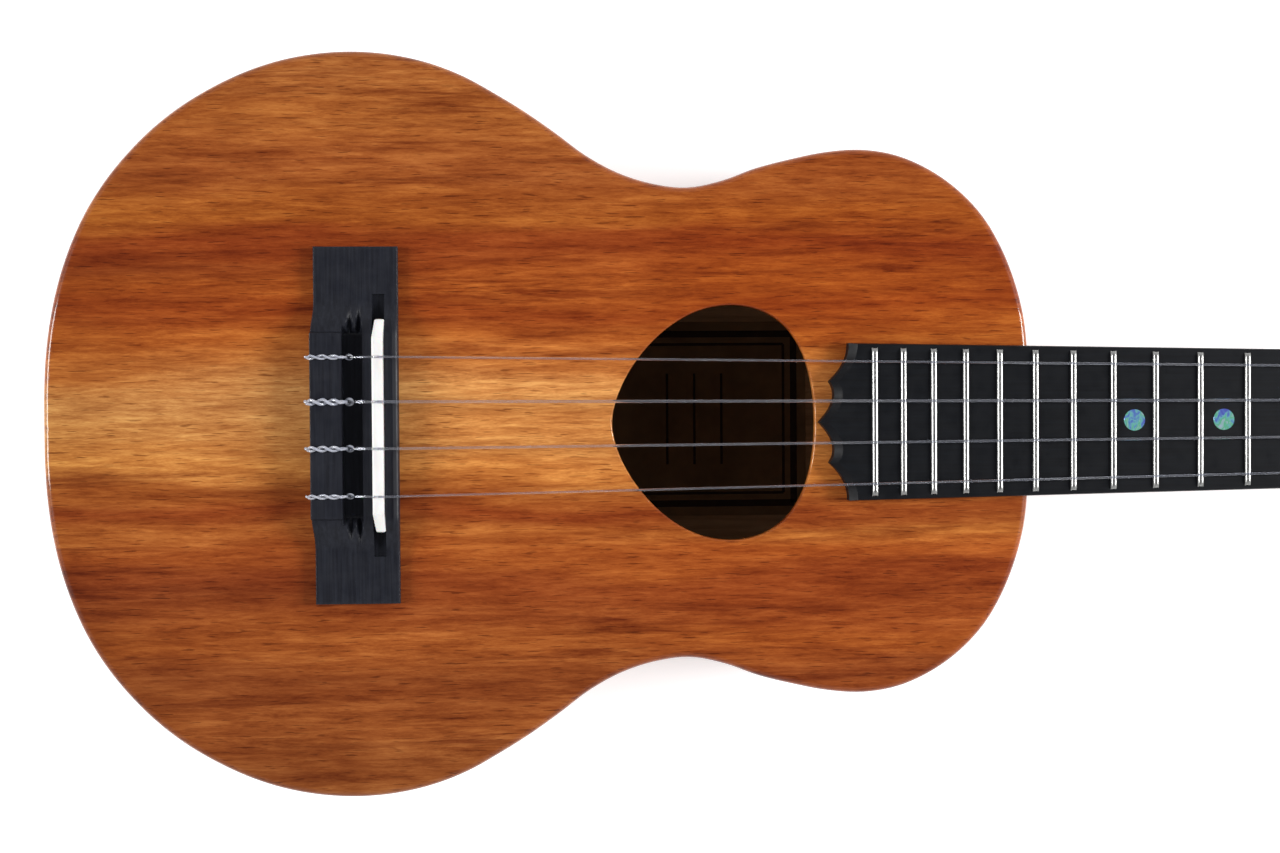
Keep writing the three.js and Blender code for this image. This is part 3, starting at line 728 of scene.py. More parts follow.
def make_floor():
    mesh = bpy.data.meshes.new("floor")
    corners = [(x * FLOOR_HALF, y * FLOOR_HALF, 0) for x, y in ((-1, -1), (1, -1), (1, 1), (-1, 1))]
    mesh.from_pydata(corners, [], [(0, 1, 2, 3)])
    floor = bpy.data.objects.new("floor", mesh)
    floor.location.z = FLOOR_Z
    bpy.context.scene.collection.objects.link(floor)
    shade = Shade("floor_white")
    shade.set(Roughness=0.9, Base_Color=(0.92, 0.92, 0.92, 1))
    shade.set(Emission_Strength=0.55, Emission_Color=(1, 1, 1, 1))
    mesh.materials.append(shade.material)


def make_stage():
    make_camera()
    make_world()
    make_floor()
    make_light("left_box", (-2.0, 0.1, 1.3), (0, 0, 0.07), 34)
    make_light("right_box", (2.2, 0.1, 1.3), (0.1, 0, 0.07), 53)
    bpy.context.scene.view_settings.view_transform = "Standard"
    bpy.context.scene.view_settings.look = "None"


# ---- body ----
def bare_inside(piece, is_inside):
    """Gives a piece's inner faces bare wood. is_inside tells from a face's centre, in millimetres."""
    piece.data.materials.append(BARE_KOA)
    for face in piece.data.polygons:
        if is_inside(face.center / MM):
            face.material_index = 1


def plate_wall(inner_z, face_z):
    """A plate's edge: up from its inner face, over a roll to its outer face. Also the loop where it ends."""
    toward = math.copysign(1, inner_z - face_z)
    rings = [at_height(OUTLINE, inner_z)]
    for inset, drop in rounded_edge(PLATE - 0.15, 8):
        rings.append(at_height(inward(OUTLINE, inset), face_z + toward * drop))
    face_loop = inward(OUTLINE, PLATE + 0.6)
    rings.append(at_height(face_loop, face_z))
    return loft(rings, closed_ends=False), face_loop


def make_top():
    """The soundboard: rolled outer edge, eased soundhole edge and flat faces."""
    low = TOP_LOW.z
    lip = 0.6
    wall, face_loop = plate_wall(low, BODY_TOP)
    rings = [at_height(HOLE, low)]
    for inset, drop in rounded_edge(lip, 5):
        rings.append(at_height(inward(HOLE, -inset), BODY_TOP - drop))
    hole_loop = inward(HOLE, -lip - 0.5)
    rings.append(at_height(hole_loop, BODY_TOP))
    hole_wall = loft(rings, closed_ends=False)
    face = flat_fill([face_loop, hole_loop], BODY_TOP)
    part = merge(wall, hole_wall, face, flat_fill([OUTLINE, HOLE], low))
    plate = build("top_plate", part, "koa_top", ["soundboard"])
    bare_inside(plate, lambda centre: abs(centre.z - low) < 0.01)


def make_back():
    """The back plate, with a rolled outer edge."""
    high = BACK_HIGH.z
    wall, face_loop = plate_wall(high, BACK_LOW.z)
    part = merge(wall, flat_fill([face_loop], BACK_LOW.z), flat_fill([OUTLINE], high))
    panel = build("back_panel", part, "koa_back", ["back_plate"])
    bare_inside(panel, lambda centre: abs(centre.z - high) < 0.01)


def swept_half(side, section_at, skip=0):
    """A strip along one half of the outline. section_at gives (inset, z) pairs for a station."""
    half = half_outline(1)
    along = directions(half)
    inwards = np.column_stack([along[:, 1], -along[:, 0]])
    inwards[0], inwards[-1] = (1, 0), (-1, 0)
    rings = []
    for i in range(skip, len(half) - skip):
        places = [(half[i] + inset * inwards[i], z) for inset, z in section_at(i)]
        rings.append([Vector((x, side * y, z)) for (x, y), z in places])
    return loft(rings)


def lay_grain_along(rib, half):
    """A UV map for a bent side: metres along the bend, and metres up."""
    steps = np.linalg.norm(np.diff(half, axis=0), axis=1)
    run = np.concatenate([[0.0], np.cumsum(steps)]) * MM
    grain = rib.data.uv_layers.new(name="grain")
    for loop in rib.data.loops:
        place = rib.data.vertices[loop.vertex_index].co
        nearest = np.argmin(np.linalg.norm(half * MM - place[:2], axis=1))
        grain.data[loop.index].uv = (run[nearest], place.z)


def make_sides():
    """The two bent sides, bare inside."""
    eased = 0.2
    low, high = BACK_HIGH.z, TOP_LOW.z
    outer = [(eased, low), (0, low + eased), (0, high - eased), (eased, high)]
    section = outer + [(SIDE_THICK, high), (SIDE_THICK, low)]
    for name, side in SIDES:
        part = swept_half(side, lambda i: section)
        rib = build(f"rib_{name}", part, "koa_side", [f"side_{name}"])
        half = half_outline(side)
        lay_grain_along(rib, half)
        reach = SIDE_THICK - 0.3
        bare_inside(rib, lambda centre: np.linalg.norm(half - centre[:2], axis=1).min() > reach)


def make_linings():
    """Kerfed linings: a strip with a saw cut every few millimetres, so that it bends."""
    height, thick, web = 7.0, 5.0, 1.4
    shoulder = 3.2
    skip = 17
    for name, side in SIDES:
        for level, base, away in (("top", TOP_LOW.z, -1), ("back", BACK_HIGH.z, 1)):

            def section(i):
                is_cut = i % 3 == 0
                reach = SIDE_THICK + (web if is_cut else thick)
                foot = SIDE_THICK + (web if is_cut else 0.45 * thick)
                end = base + away * height
                return [(SIDE_THICK, base), (reach, base), (reach, base + away * shoulder), (foot, end),
                        (SIDE_THICK, end)]

            node = f"lining_{level}_{name}"
            build(f"kerfed_{node}", swept_half(side, section, skip), "spruce", [node])


def dress_inside():
    """Braces and blocks keep their CAD shape, with eased edges."""
    braces = ("upper_transverse_brace", "lower_transverse_brace", "fan_brace_bass", "fan_brace_treble",
              "bridge_plate", "back_brace_upper", "back_brace_lower")
    eased = 0.6
    for node in braces + ("tail_block", "neck_block"):
        piece = frame["nodes"][node]
        piece.data.materials.clear()
        piece.data.materials.append(LOOK["spruce" if node in braces else "mahogany"][0])
        bevel = piece.modifiers.new("eased", "BEVEL")
        bevel.width = eased * MM
        bevel.segments = 2
        bevel.limit_method = "ANGLE"


def make_label():
    """A plain paper label with ruled borders and no lettering."""
    low, high = cad_box("paper_label")
    corner = 2.0
    corner_x = (low.x + corner, high.x - corner)
    corner_y = (low.y + corner, high.y - corner)
    outline = []
    for turn, (i, j) in enumerate(((1, 0), (1, 1), (0, 1), (0, 0))):
        outline += arc((corner_x[i], corner_y[j]), corner, 90 * turn - 90, 90 * turn, 6)
    sheet_top = high.z - 0.06
    sheet = loft([at_height(outline, low.z), at_height(outline, sheet_top)])
    build("label_paper", sheet, "paper", ["paper_label"])

    ink_top = sheet_top + 0.04

    def line(x0, x1, y0, y1):
        return block((x0, y0, sheet_top), (x1, y1, ink_top))

    parts = []
    for margin, width in ((4.0, 2.2), (7.4, 0.9)):
        half = width / 2
        xs = (low.x + margin, high.x - margin)
        ys = (low.y + margin, high.y - margin)
        parts += [line(*xs, y - half, y + half) for y in ys]
        parts += [line(x - half, x + half, *ys) for x in xs]
    for offset in (-9, 0, 9):
        x = (low.x + high.x) / 2 + offset
        parts.append(line(x - 0.4, x + 0.4, -15, 15))
    build("label_rules", merge(*parts), "ink")


# ---- where the strings run ----
def string_y(node, low, high):
    """Y of a CAD string's centre line, from its vertices between two X places."""
    near = [v.co.y / MM for v in frame["nodes"][node].data.vertices if low < v.co.x / MM < high]
    return (min(near) + max(near)) / 2


SADDLE_Y = {node: string_y(node, TOP_LOW.x, BRIDGE_HIGH.x) for node in STRING_RADIUS}
NUT_Y = {node: string_y(node, NUT_X - 0.5, HEAD_X + 0.5) for node in STRING_RADIUS}


# ---- bridge and saddle ----
TIE_EDGE = BRIDGE_LOW.x + 9.2
CHANNEL_EDGE = BRIDGE_LOW.x + 15.1
SLOT_LOW_X = SADDLE_LOW.x - 0.15
SLOT_HIGH_X = SADDLE_HIGH.x + 0.15
WING_Z = BODY_TOP + 3.0
RIDGE_Z = BODY_TOP + 6.5
TIE_Z = BRIDGE_HIGH.z
CHANNEL_Z = BODY_TOP + 3.2
SLOT_Z = BODY_TOP + 1.8
BLOCK_HALF = 27.0
SLOT_HALF = 38.5
CHAMFER = 1.6
WALL = 0.06
STRING_HOLE_Z = BODY_TOP + 5.0
STRING_HOLE = 0.95

# The channel's cutter leaves two grooves that run out on each ramp: centre, half width, end.
GROOVES = ((BRIDGE_LOW.x + 11.4, 1.5, 35.5), (BRIDGE_LOW.x + 14.0, 1.1, 38.5))


def groove_depth(x, reach):
    """How deep the two grooves cut at a distance from the centre line, as 0 to 1."""
    depth = 0.0
    for centre, half, end in GROOVES:
        if reach < end:
            left = 1 - ease(reach, BLOCK_HALF - 1, end)
            away = abs(x - centre) / (half * (0.15 + 0.85 * left))
            if away < 1:
                depth = max(depth, (1 - away**2) * (0.12 + 0.88 * left))
    return depth


def bridge_height(x, y):
    """Top of the bridge over a point of its footprint."""
    reach = abs(y)
    lift = 1 - ease(reach, BLOCK_HALF - 1, BLOCK_HALF + 11)
    ramp = WING_Z + (RIDGE_Z - WING_Z) * lift
    height = ramp
    if x < TIE_EDGE:
        height += (TIE_Z - RIDGE_Z) * (1 - ease(reach, BLOCK_HALF, BLOCK_HALF + 0.5))
    elif x <= CHANNEL_EDGE:
        inside = 1 - ease(reach, BLOCK_HALF - 0.5, BLOCK_HALF + 2.5)
        height -= (ramp - CHANNEL_Z) * max(inside, groove_depth(x, reach))
    if SLOT_LOW_X <= x <= SLOT_HIGH_X and reach < SLOT_HALF:
        height = min(height, SLOT_Z)
    front = BRIDGE_HIGH.x - x
    if front < CHAMFER:
        height -= (CHAMFER - front) * (0.10 + 0.22 * lift)
    return height


def bridge_back(y):
    """How far the back edge lies inside the box: the tie block stands out a little."""
    return 0.8 * ease(abs(y), BLOCK_HALF - 1, BLOCK_HALF + 8)


def bridge_stations():
    """Where the relief is worked out: even steps, with close pairs on both sides of every wall."""
    xs = set(np.linspace(BRIDGE_LOW.x, BRIDGE_HIGH.x, 90))
    for edge in (TIE_EDGE, CHANNEL_EDGE, SLOT_LOW_X, SLOT_HIGH_X, BRIDGE_HIGH.x - CHAMFER):
        xs |= {edge - WALL, edge + WALL}
    ys = set(np.linspace(-BRIDGE_HIGH.y, BRIDGE_HIGH.y, 150))
    for edge in (BLOCK_HALF, BLOCK_HALF + 0.5, SLOT_HALF):
        for reach in (edge - WALL, edge, edge + WALL):
            ys |= {-reach, reach}
    return sorted(xs), sorted(ys)


def make_bridge():
    """A relief over the footprint: wings, tie block, string channel, ridge and saddle slot."""
    eased = 0.4
    taper = 0.3 * (BRIDGE_HIGH.x - BRIDGE_LOW.x)
    xs, ys = bridge_stations()
    verts = []
    for y in ys:
        for x in xs:
            shift = bridge_back(y) * (1 - min(1.0, (x - BRIDGE_LOW.x) / taper))
            near = min(x - BRIDGE_LOW.x, BRIDGE_HIGH.x - x, BRIDGE_HIGH.y - abs(y))
            drop = eased * (1 - min(near / eased, 1.0)) ** 2
            verts.append(Vector((x + shift, y, bridge_height(x, y) - drop)))
    grid = np.arange(len(verts)).reshape(len(ys), len(xs))
    faces = [(a, a + 1, a + len(xs) + 1, a + len(xs)) for a in grid[:-1, :-1].ravel().tolist()]
    rim = np.concatenate([grid[0], grid[1:, -1], grid[-1, -2::-1], grid[-2:0:-1, 0]]).tolist()
    foot = [len(verts) + k for k in range(len(rim))]
    verts += [Vector((verts[i].x, verts[i].y, BODY_TOP)) for i in rim]
    faces += [(rim[k], rim[k - 1], foot[k - 1], foot[k]) for k in range(len(rim))]
    faces.append(tuple(foot))
    piece = build("bridge_carved", (verts, faces), "bridge", ["bridge"], sharp=40)
    for y in SADDLE_Y.values():
        place = Matrix.Translation((BRIDGE_LOW.x - 2, y, STRING_HOLE_Z))
        drill = rod(STRING_HOLE, 12.5, 20, place @ Matrix.Rotation(QUARTER_TURN, 4, "Y"))
        combine(piece, mesh_object("drill", drill), "DIFFERENCE")


def make_saddle():
    """A bone blade with a rounded crown and ends that slope down."""
    half = (SADDLE_HIGH.x - SADDLE_LOW.x) / 2
    middle = (SADDLE_HIGH.x + SADDLE_LOW.x) / 2
    low = BODY_TOP + 3.6
    end = SADDLE_HIGH.y
    shoulder = end - 5.4
    drop = 3.0
    crown = 0.5
    corners = (shoulder - 0.12, shoulder + 0.12, end - 0.25, end)
    stations = {0.0, *corners, *(-y for y in corners), *np.linspace(-shoulder + 1, shoulder - 1, 40)}
    rings = []
    for y in sorted(stations):
        slope = min(max((abs(y) - shoulder) / (end - shoulder), 0.0), 1.0)
        at_end = abs(y) == end
        centre = middle + 0.55 * slope
        wide = half * (1 - 0.18 * slope) - (0.25 if at_end else 0.0)
        spring = SADDLE_HIGH.z - crown - drop * slope - (0.3 if at_end else 0.0)
        rings.append(at_y(domed(centre, wide, low, spring, crown, 8), y))
    build("saddle_blade", loft(rings), "bone", ["saddle"], sharp=22)


# ---- fingerboard, frets and nut ----
BOARD_TAIL_HALF = BOARD_HIGH.y
BOARD_CORNER_X = BOARD_LOW.x + 8.8


def board_half(x):
    """Half the fingerboard's width."""
    taper = (BOARD_TAIL_HALF - NUT_HIGH.y) / (NUT_X - BOARD_CORNER_X)
    return NUT_HIGH.y + (NUT_X - x) * taper


def board_tail():
    """The scalloped end of the fingerboard, from the +Y corner to the -Y corner."""
    start = BOARD_LOW.x
    corner = (BOARD_CORNER_X, BOARD_TAIL_HALF)
    cusp = (start + 3.1, 12.1)
    tip = (start, 0.0)
    upper = bezier((corner, (start + 9.1, 17.5), cusp), 14) + bezier((cusp, (start + 6.9, 7.0), tip), 14)
    return upper + [tip] + [(x, -y) for x, y in reversed(upper)]


def make_board():
    """The fingerboard, with a bevel round its scalloped end and eased long edges."""
    tail = board_tail()
    bevel = 2.4
    eased = 0.25
    inner = []
    for x, y in tail:
        reach = board_half(x + bevel) - eased
        inner.append((x + bevel * (0.96 if abs(y) < 22 else 1.0), max(-reach, min(reach, y * 0.985))))
    corner = NUT_HIGH.y
    outline = [(NUT_X, corner)] + tail + [(NUT_X, -corner)]
    top = [(NUT_X, corner - eased)] + inner + [(NUT_X, eased - corner)]
    heights = [BOARD_TOP - 0.3] + [BOARD_TOP - 1.7] * len(tail) + [BOARD_TOP - 0.3]
    middle = [Vector((x, y, z)) for (x, y), z in zip(outline, heights)]
    part = loft([at_height(outline, BODY_TOP), middle, at_height(top, BOARD_TOP)])
    build("fingerboard_ebony", part, "board", ["fingerboard"], sharp=12)


def fret_x(number):
    low, high = cad_box(f"fret_{number:02d}")
    return (low.x + high.x) / 2


def make_frets():
    """Frets with a domed crown and filed ends."""
    half = 0.93
    sunk = BOARD_TOP - 0.02
    filed = ((0, 0.12), (0.35, 0.55), (0.8, 0.85), (1.3, 1.0))
    for number in range(1, FRETS + 1):
        node = f"fret_{number:02d}"
        high = cad_box(node)[1]
        middle = fret_x(number)
        crown = 0.94 * (high.z - BOARD_TOP)
        reach = high.y
        stations = [(inset - reach, part) for inset, part in filed]
        stations += [(y, 1.0) for y in np.linspace(2 - reach, reach - 2, 7)]
        stations += [(reach - inset, part) for inset, part in reversed(filed)]
        spring = BOARD_TOP + 0.05
        rings = [at_y(domed(middle, half, sunk, spring, crown * part, 10, 0.8), y) for y, part in stations]
        build(f"wire_{node}", loft(rings), "fret", [node], sharp=50)


def make_dots():
    """Abalone position dots, and small side dots on the +Y edge."""
    face = [(0, -1), (3.1, -1), (3.2, -0.02), (3.12, 0.04), (0, 0.05)]
    edge = [(0, -1), (0.85, -1), (0.85, 0), (0, 0)]
    turn = Matrix.Rotation(-QUARTER_TURN, 4, "X")
    for fret in (5, 7, 10, 12):
        x = (fret_x(fret) + fret_x(fret - 1)) / 2
        dot = lathe(face, 48, Matrix.Translation((x, 0, BOARD_TOP)))
        build(f"position_dot_{fret:02d}", dot, "abalone")
        place = Matrix.Translation((x, board_half(x) + 0.03, BOARD_TOP - 3))
        build(f"side_dot_{fret:02d}", lathe(edge, 24, place @ turn), "bone")


def make_nut():
    """The nut: rounded front edge and four string slots."""
    half = NUT_HIGH.y
    high = NUT_HIGH.z
    slot = 0.5
    profile = [(NUT_X, BODY_TOP), (HEAD_X, BODY_TOP)]
    for along, up in arc((0, 0), 1, 0, 90, 8):
        profile.append((HEAD_X - 2.5 + 2.5 * along, high - 2.2 + 2.2 * up))
    profile += [(NUT_X + 0.4, high), (NUT_X, high - 0.4)]
    stations = {-half, half, *np.linspace(0.5 - half, half - 0.5, 20)}
    for y in NUT_Y.values():
        stations |= {y + shift for shift in (-0.55, -0.45, -0.25, 0, 0.25, 0.45, 0.55)}
    rings = []
    for y in sorted(stations):
        away = min(abs(y - middle) for middle in NUT_Y.values()) / slot
        dip = math.sqrt(max(0.0, 1 - away**2))
        soft = 0.5 * (1 - min((half - abs(y)) / 0.5, 1.0))
        rings.append([Vector((x, y, z - (dip + soft if z > BOARD_TOP else 0))) for x, z in profile])
    build("nut_bone", loft(rings), "bone", ["nut"])


# ---- neck and headstock ----
VENEER_LOW = 0.3
VENEER_HIGH = 1.8
POST_HOLE = 3.6
NECK_DEPTH = 14.5
SHAFT_DEPTH = NECK_DEPTH + 2
SHAFT_END = NUT_X - 15
SECTION_STEPS = 44
HEEL_START = 200.0
HEEL_COVE = 163.0
HEEL_DEPTH = 73.0
HEAD_THICK = 13.0
HEAD_LENGTH = 130.0
HEAD_SETTLED = 22.0


def tuner_frame(number):
    """The headstock's frame moved to a post, and the side that its button is on."""
    local = HEAD_FRAME.inverted() @ joint_place(f"post_{number}_turn")[0]
    return HEAD_FRAME @ Matrix.Translation((local.x, local.y, 0)), (1 if local.y > 0 else -1)


def section_angles():
    return [math.pi * k / SECTION_STEPS for k in range(SECTION_STEPS + 1)]


def neck_section(top, bottom, half, squareness):
    """A ring with a flat top: a half ellipse at squareness 2, and close to a rectangle at 10."""
    ring = []
    for angle in section_angles():
        across = math.copysign(abs(math.cos(angle)) ** (2 / squareness), math.cos(angle))
        place = top.lerp(bottom, math.sin(angle) ** (2 / squareness))
        ring.append(Vector((place.x, -half * across, place.z)))
    return ring


def head_widths():
    """(distance from the nut, half width) along the headstock, up to the tip."""
    half = NUT_HIGH.y
    curves = (
        ((3, half), (12, half), (12, 28), (24, 29)),
        ((24, 29), (60, 31), (80, 31), (108, 35)),
        ((108, 35), (120, 37), (HEAD_LENGTH, 20), (HEAD_LENGTH, 0)),
    )
    return [pair for curve in curves for pair in bezier(curve, 22)]


def heel_depth(x):
    """Depth of the neck under the board: full at the heel, then a cove up to the shaft."""
    if x <= HEEL_COVE:
        return HEEL_DEPTH
    part = (HEEL_START - x) / (HEEL_START - HEEL_COVE)
    return SHAFT_DEPTH + (HEEL_DEPTH - SHAFT_DEPTH) * (1 - math.sqrt(1 - part**2))


def heel_reach(drop):
    """X that the heel reaches at a distance under the board: the cove's curve, read the other way."""
    part = max(drop - SHAFT_DEPTH, 0.0) / (HEEL_DEPTH - SHAFT_DEPTH)
    return HEEL_START - (HEEL_START - HEEL_COVE) * math.sqrt(1 - (1 - part) ** 2)


def heel_section(x):
    """A ring through the heel: the shaft's half ellipse blended with a heel that is one in plan."""
    depth = heel_depth(x)
    half = board_half(x)
    spread = math.sqrt(1 - ((x - HEEL_X) / (HEEL_START - HEEL_X)) ** 2)
    ring = []
    for k, angle in enumerate(section_angles()):
        drop = depth * math.sin(angle)
        shaft = half * math.sqrt(max(0.0, 1 - (drop / SHAFT_DEPTH) ** 2))
        along = min((x - HEEL_X) / (heel_reach(drop) - HEEL_X), 1.0)
        narrowing = 1 - 0.52 * (drop / HEEL_DEPTH) ** 1.3
        nose = 0.5 + 0.9 * (1 - drop / HEEL_DEPTH)
        heel = half * narrowing * (1 - along**2) ** nose
        soft = 3.0 * spread * (1 - drop / depth)
        width = min(half, 0.5 * (shaft + heel + math.hypot(shaft - heel, soft)))
        side = 0 if 2 * k == SECTION_STEPS else math.copysign(1, math.cos(angle))
        ring.append(Vector((x, -side * width, BODY_TOP - drop)))
    return ring


def heel_rings():
    """Rings of the heel: even over the cap, then closer where the cove is steep."""
    over_cap, over_cove = 12, 28
    cap = [math.sin(QUARTER_TURN * k / over_cap) for k in range(over_cap)]
    cove = [math.sin(QUARTER_TURN * (1 - k / over_cove)) for k in range(over_cove)]
    stations = [HEEL_X + (HEEL_COVE - HEEL_X) * part for part in cap]
    stations += [HEEL_START - (HEEL_START - HEEL_COVE) * part for part in cove]
    return [heel_section(x) for x in stations]


def shaft_rings():
    """Rings of the shaft, which gets a little thinner towards the nut."""
    rings = []
    for k in range(13):
        x = HEEL_START + (SHAFT_END - HEEL_START) * k / 12
        depth = SHAFT_DEPTH - (SHAFT_DEPTH - NECK_DEPTH) * k / 12
        top = Vector((x, 0, BODY_TOP))
        rings.append(neck_section(top, top - Vector((0, 0, depth)), board_half(x), 2))
    return rings


def head_rings():
    """Rings from the shaft's end to the headstock's tip. A curve leads the underside into the headstock."""
    start = Vector((SHAFT_END, 0, BODY_TOP - NECK_DEPTH))
    finish = HEAD_FRAME @ Vector((HEAD_SETTLED, 0, -HEAD_THICK))
    slope = (HEAD_FRAME.to_3x3() @ Vector((1, 0, 0))) * 14
    under = (start, start + Vector((16, 0, 0)), finish - slope, finish)
    travel = HEAD_X - SHAFT_END + HEAD_SETTLED
    places = [(x - HEAD_X, board_half(x)) for x in np.linspace(SHAFT_END + 2, HEAD_X, 10).tolist()]
    places += [pair for pair in head_widths() if pair[0] > 0.5]
    rings = []
    for along, half in places:
        x = HEAD_X + along
        t = min((x - SHAFT_END) / travel, 1.0)
        top = Vector((x, 0, BODY_TOP)) if along <= 0 else HEAD_FRAME @ Vector((along, 0, 0))
        bottom = Vector(bezier_at(under, t)) if t < 1 else HEAD_FRAME @ Vector((along, 0, -HEAD_THICK))
        rings.append(neck_section(top, bottom, max(half, 0.4), 2 + 9 * ease(t, 0.15, 1.0)))
    return rings


def head_outline():
    """Headstock outline in its own plane, anticlockwise, from the -Y corner at the nut."""
    upper = [(0.4, NUT_HIGH.y)] + head_widths()
    return [(x, -y) for x, y in upper] + [(HEAD_LENGTH, 0.0)] + list(reversed(upper))


def drill_posts(piece, low, high):
    """Four post holes, between two heights of the headstock's frame."""
    for number in TUNERS:
        place = tuner_frame(number)[0] @ Matrix.Translation((0, 0, low))
        combine(piece, mesh_object("hole", rod(POST_HOLE, high - low, 40, place)), "DIFFERENCE")


def finish_cut(piece, look, node):
    clean_cuts(piece)
    dress(piece, look, [node], sharp=28)


def make_neck():
    """Shaft, heel and headstock in one, then the heel cap and the headstock's face."""
    heel = heel_rings()
    neck = mesh_object("neck_carved", loft(heel + shaft_rings() + head_rings()))
    below = block((HEEL_X - 30, -40, -20), (HEEL_START, 40, PLATE))
    combine(neck, mesh_object("below", below), "DIFFERENCE")
    drill_posts(neck, -HEAD_THICK - 2, 4)
    finish_cut(neck, "mahogany", "neck")

    cap = mesh_object("heel_cap_plate", loft(heel))
    slice_block = block((HEEL_X - 30, -40, 0), (HEEL_START, 40, PLATE))
    combine(cap, mesh_object("slice", slice_block), "INTERSECT")
    finish_cut(cap, "board", "heel_cap")

    veneer = slab(head_outline(), VENEER_LOW, VENEER_HIGH, 0.3)
    face = mesh_object("headstock_face", moved(veneer, HEAD_FRAME))
    drill_posts(face, -2, 4)
    finish_cut(face, "koa_face", "headstock_veneer")


# ---- strings ----
POST_RADIUS = 3.0
POST_WAIST = 2.75
WINDING_Z = 8.3


def tie_parts(y, radius):
    """The tie at the bridge: two strands twisted over the block, an eye in the channel and a tucked end."""
    rear, front = BRIDGE_LOW.x, TIE_EDGE
    top = TIE_Z + radius
    turns = 1.3
    swing = 1.35 * radius
    steps = 40
    hole = STRING_HOLE_Z
    first = [(rear + 0.6, y, hole), (rear - radius - 0.1, y, hole + 0.5),
             (rear - radius - 0.25, y + 0.3 * radius, top - 1.3)]
    second = [(rear + 1.0, y - 0.2, hole - 0.1), (rear - 1.6 * radius, y - radius, hole + 1.0),
              (rear - 1.9 * radius, y - radius, top - 1.0)]
    parts = []
    for path, phase, bulge in ((first, 0.0, 0.0), (second, math.pi, 0.5 * radius)):
        for k in range(steps + 1):
            t = k / steps
            angle = phase + FULL_TURN * turns * t
            hump = bulge * math.exp(-(((t - 0.5) / 0.12) ** 2))
            x = rear + 0.3 + (front - rear - 0.5) * t
            lift = swing * (1 + math.sin(angle)) + hump
            path.append((x, y + (swing + hump) * math.cos(angle), top + lift))
        path.append((front + 0.6, y + 0.8 * radius * math.cos(angle), top - 0.5))
        path.append((front + 1.3, y, hole + 1.6))
        parts.append(tube(catmull(path, 4, False), radius * 0.95))
    eye = []
    for k in range(33):
        angle = FULL_TURN * k / 32
        x = front + 2.1 + 1.05 * math.cos(angle)
        eye.append((x, y + 1.9 * radius * math.sin(angle), hole + 1.3 + 0.7 * math.sin(angle + 0.6)))
    parts.append(tube(eye, radius * 0.9))
    knob = Vector((rear - 0.9 - radius, y + 0.5 * radius, top - 0.9))
    end = [knob, knob + Vector((0.55, -0.25, 0.35)), knob + Vector((1.1, -0.2, 0.25))]
    parts.append(tube(end, radius * 1.2))
    return parts


def make_strings():
    """Each string from its tie at the bridge, over saddle and nut, to its post."""
    saddle_x = (SADDLE_LOW.x + SADDLE_HIGH.x) / 2
    for number, (node, radius) in zip(TUNERS, STRING_RADIUS.items()):
        start_y, end_y = SADDLE_Y[node], NUT_Y[node]
        base, side = tuner_frame(number)
        on_saddle = SADDLE_HIGH.z + radius
        on_nut = NUT_HIGH.z - 0.95 + radius
        route = [
            (BRIDGE_LOW.x - 0.2, start_y, STRING_HOLE_Z), (TIE_EDGE, start_y, STRING_HOLE_Z),
            (saddle_x - 2.2, start_y, on_saddle - 1.5), (saddle_x - 0.9, start_y, on_saddle - 0.25),
            (saddle_x, start_y, on_saddle), (saddle_x + 1.2, start_y, on_saddle),
            (NUT_X - 0.5, end_y, on_nut), (NUT_X + 1.5, end_y, on_nut), (HEAD_X, end_y, on_nut - 0.45),
            base @ Vector((0, -side * (POST_WAIST + radius), WINDING_Z)),
        ]
        build(f"nylon_{node}", tube(route, radius), "string", [node], sharp=60)
        build(f"tie_{node}", merge(*tie_parts(start_y, radius)), "tie", sharp=60)


# ---- tuners, each about its post in the headstock's frame ----
GEAR_TEETH = 14
WORM_LEAD = 2.2
WORM_RADIUS = 2.4
GEAR_RADIUS = GEAR_TEETH * WORM_LEAD / FULL_TURN
WORM_X = -GEAR_RADIUS - WORM_RADIUS
SHAFT_RADIUS = 1.5
SHAFT_SIDES = 40
SHEET = 1.0
SHEET_TOP = -HEAD_THICK - 0.3
GEAR_Z = SHEET_TOP - SHEET - 0.4 - WORM_RADIUS - 0.6
GEAR_THICK = 3.6
EAR_INSIDE = 4.3
EAR_THICK = 1.4
EAR_OUTSIDE = EAR_INSIDE + EAR_THICK


def gear_part():
    """Fourteen leaning teeth. A gap faces the worm at rest."""
    lean = math.radians(2.75)
    half = GEAR_THICK / 2
    root, tip = GEAR_RADIUS - 0.8, GEAR_RADIUS + 0.6
    flank = ((root, 0.62 / root), (root + 0.5, 0.50 / root), (tip - 0.15, 0.30 / tip), (tip, 0.18 / tip))
    tooth = [(radius, -angle) for radius, angle in flank] + list(reversed(flank))
    levels = ((-half, -lean, 0.15), (0.2 - half, -lean, 0), (half - 0.2, lean, 0), (half, lean, 0.15))
    rings = []
    for z, turn, shrink in levels:
        ring = []
        for number in range(GEAR_TEETH):
            centre = math.pi + (number + 0.5) * FULL_TURN / GEAR_TEETH + turn
            for radius, offset in tooth:
                reach = radius - shrink
                ring.append((reach * math.cos(centre + offset), reach * math.sin(centre + offset)))
        rings.append(at_height(ring, GEAR_Z + z))
    return loft(rings)


def winding_part(side, radius):
    """Three and a half turns of string down the post's waist."""
    turns = 3.5
    steps = 110
    core = POST_WAIST + radius
    path = []
    for k in range(steps + 1):
        t = k / steps
        angle = -side * (QUARTER_TURN + FULL_TURN * turns * t)
        path.append((core * math.cos(angle), core * math.sin(angle), WINDING_Z - 2.04 * radius * turns * t))
    return tube(path, radius * 0.97, 10)


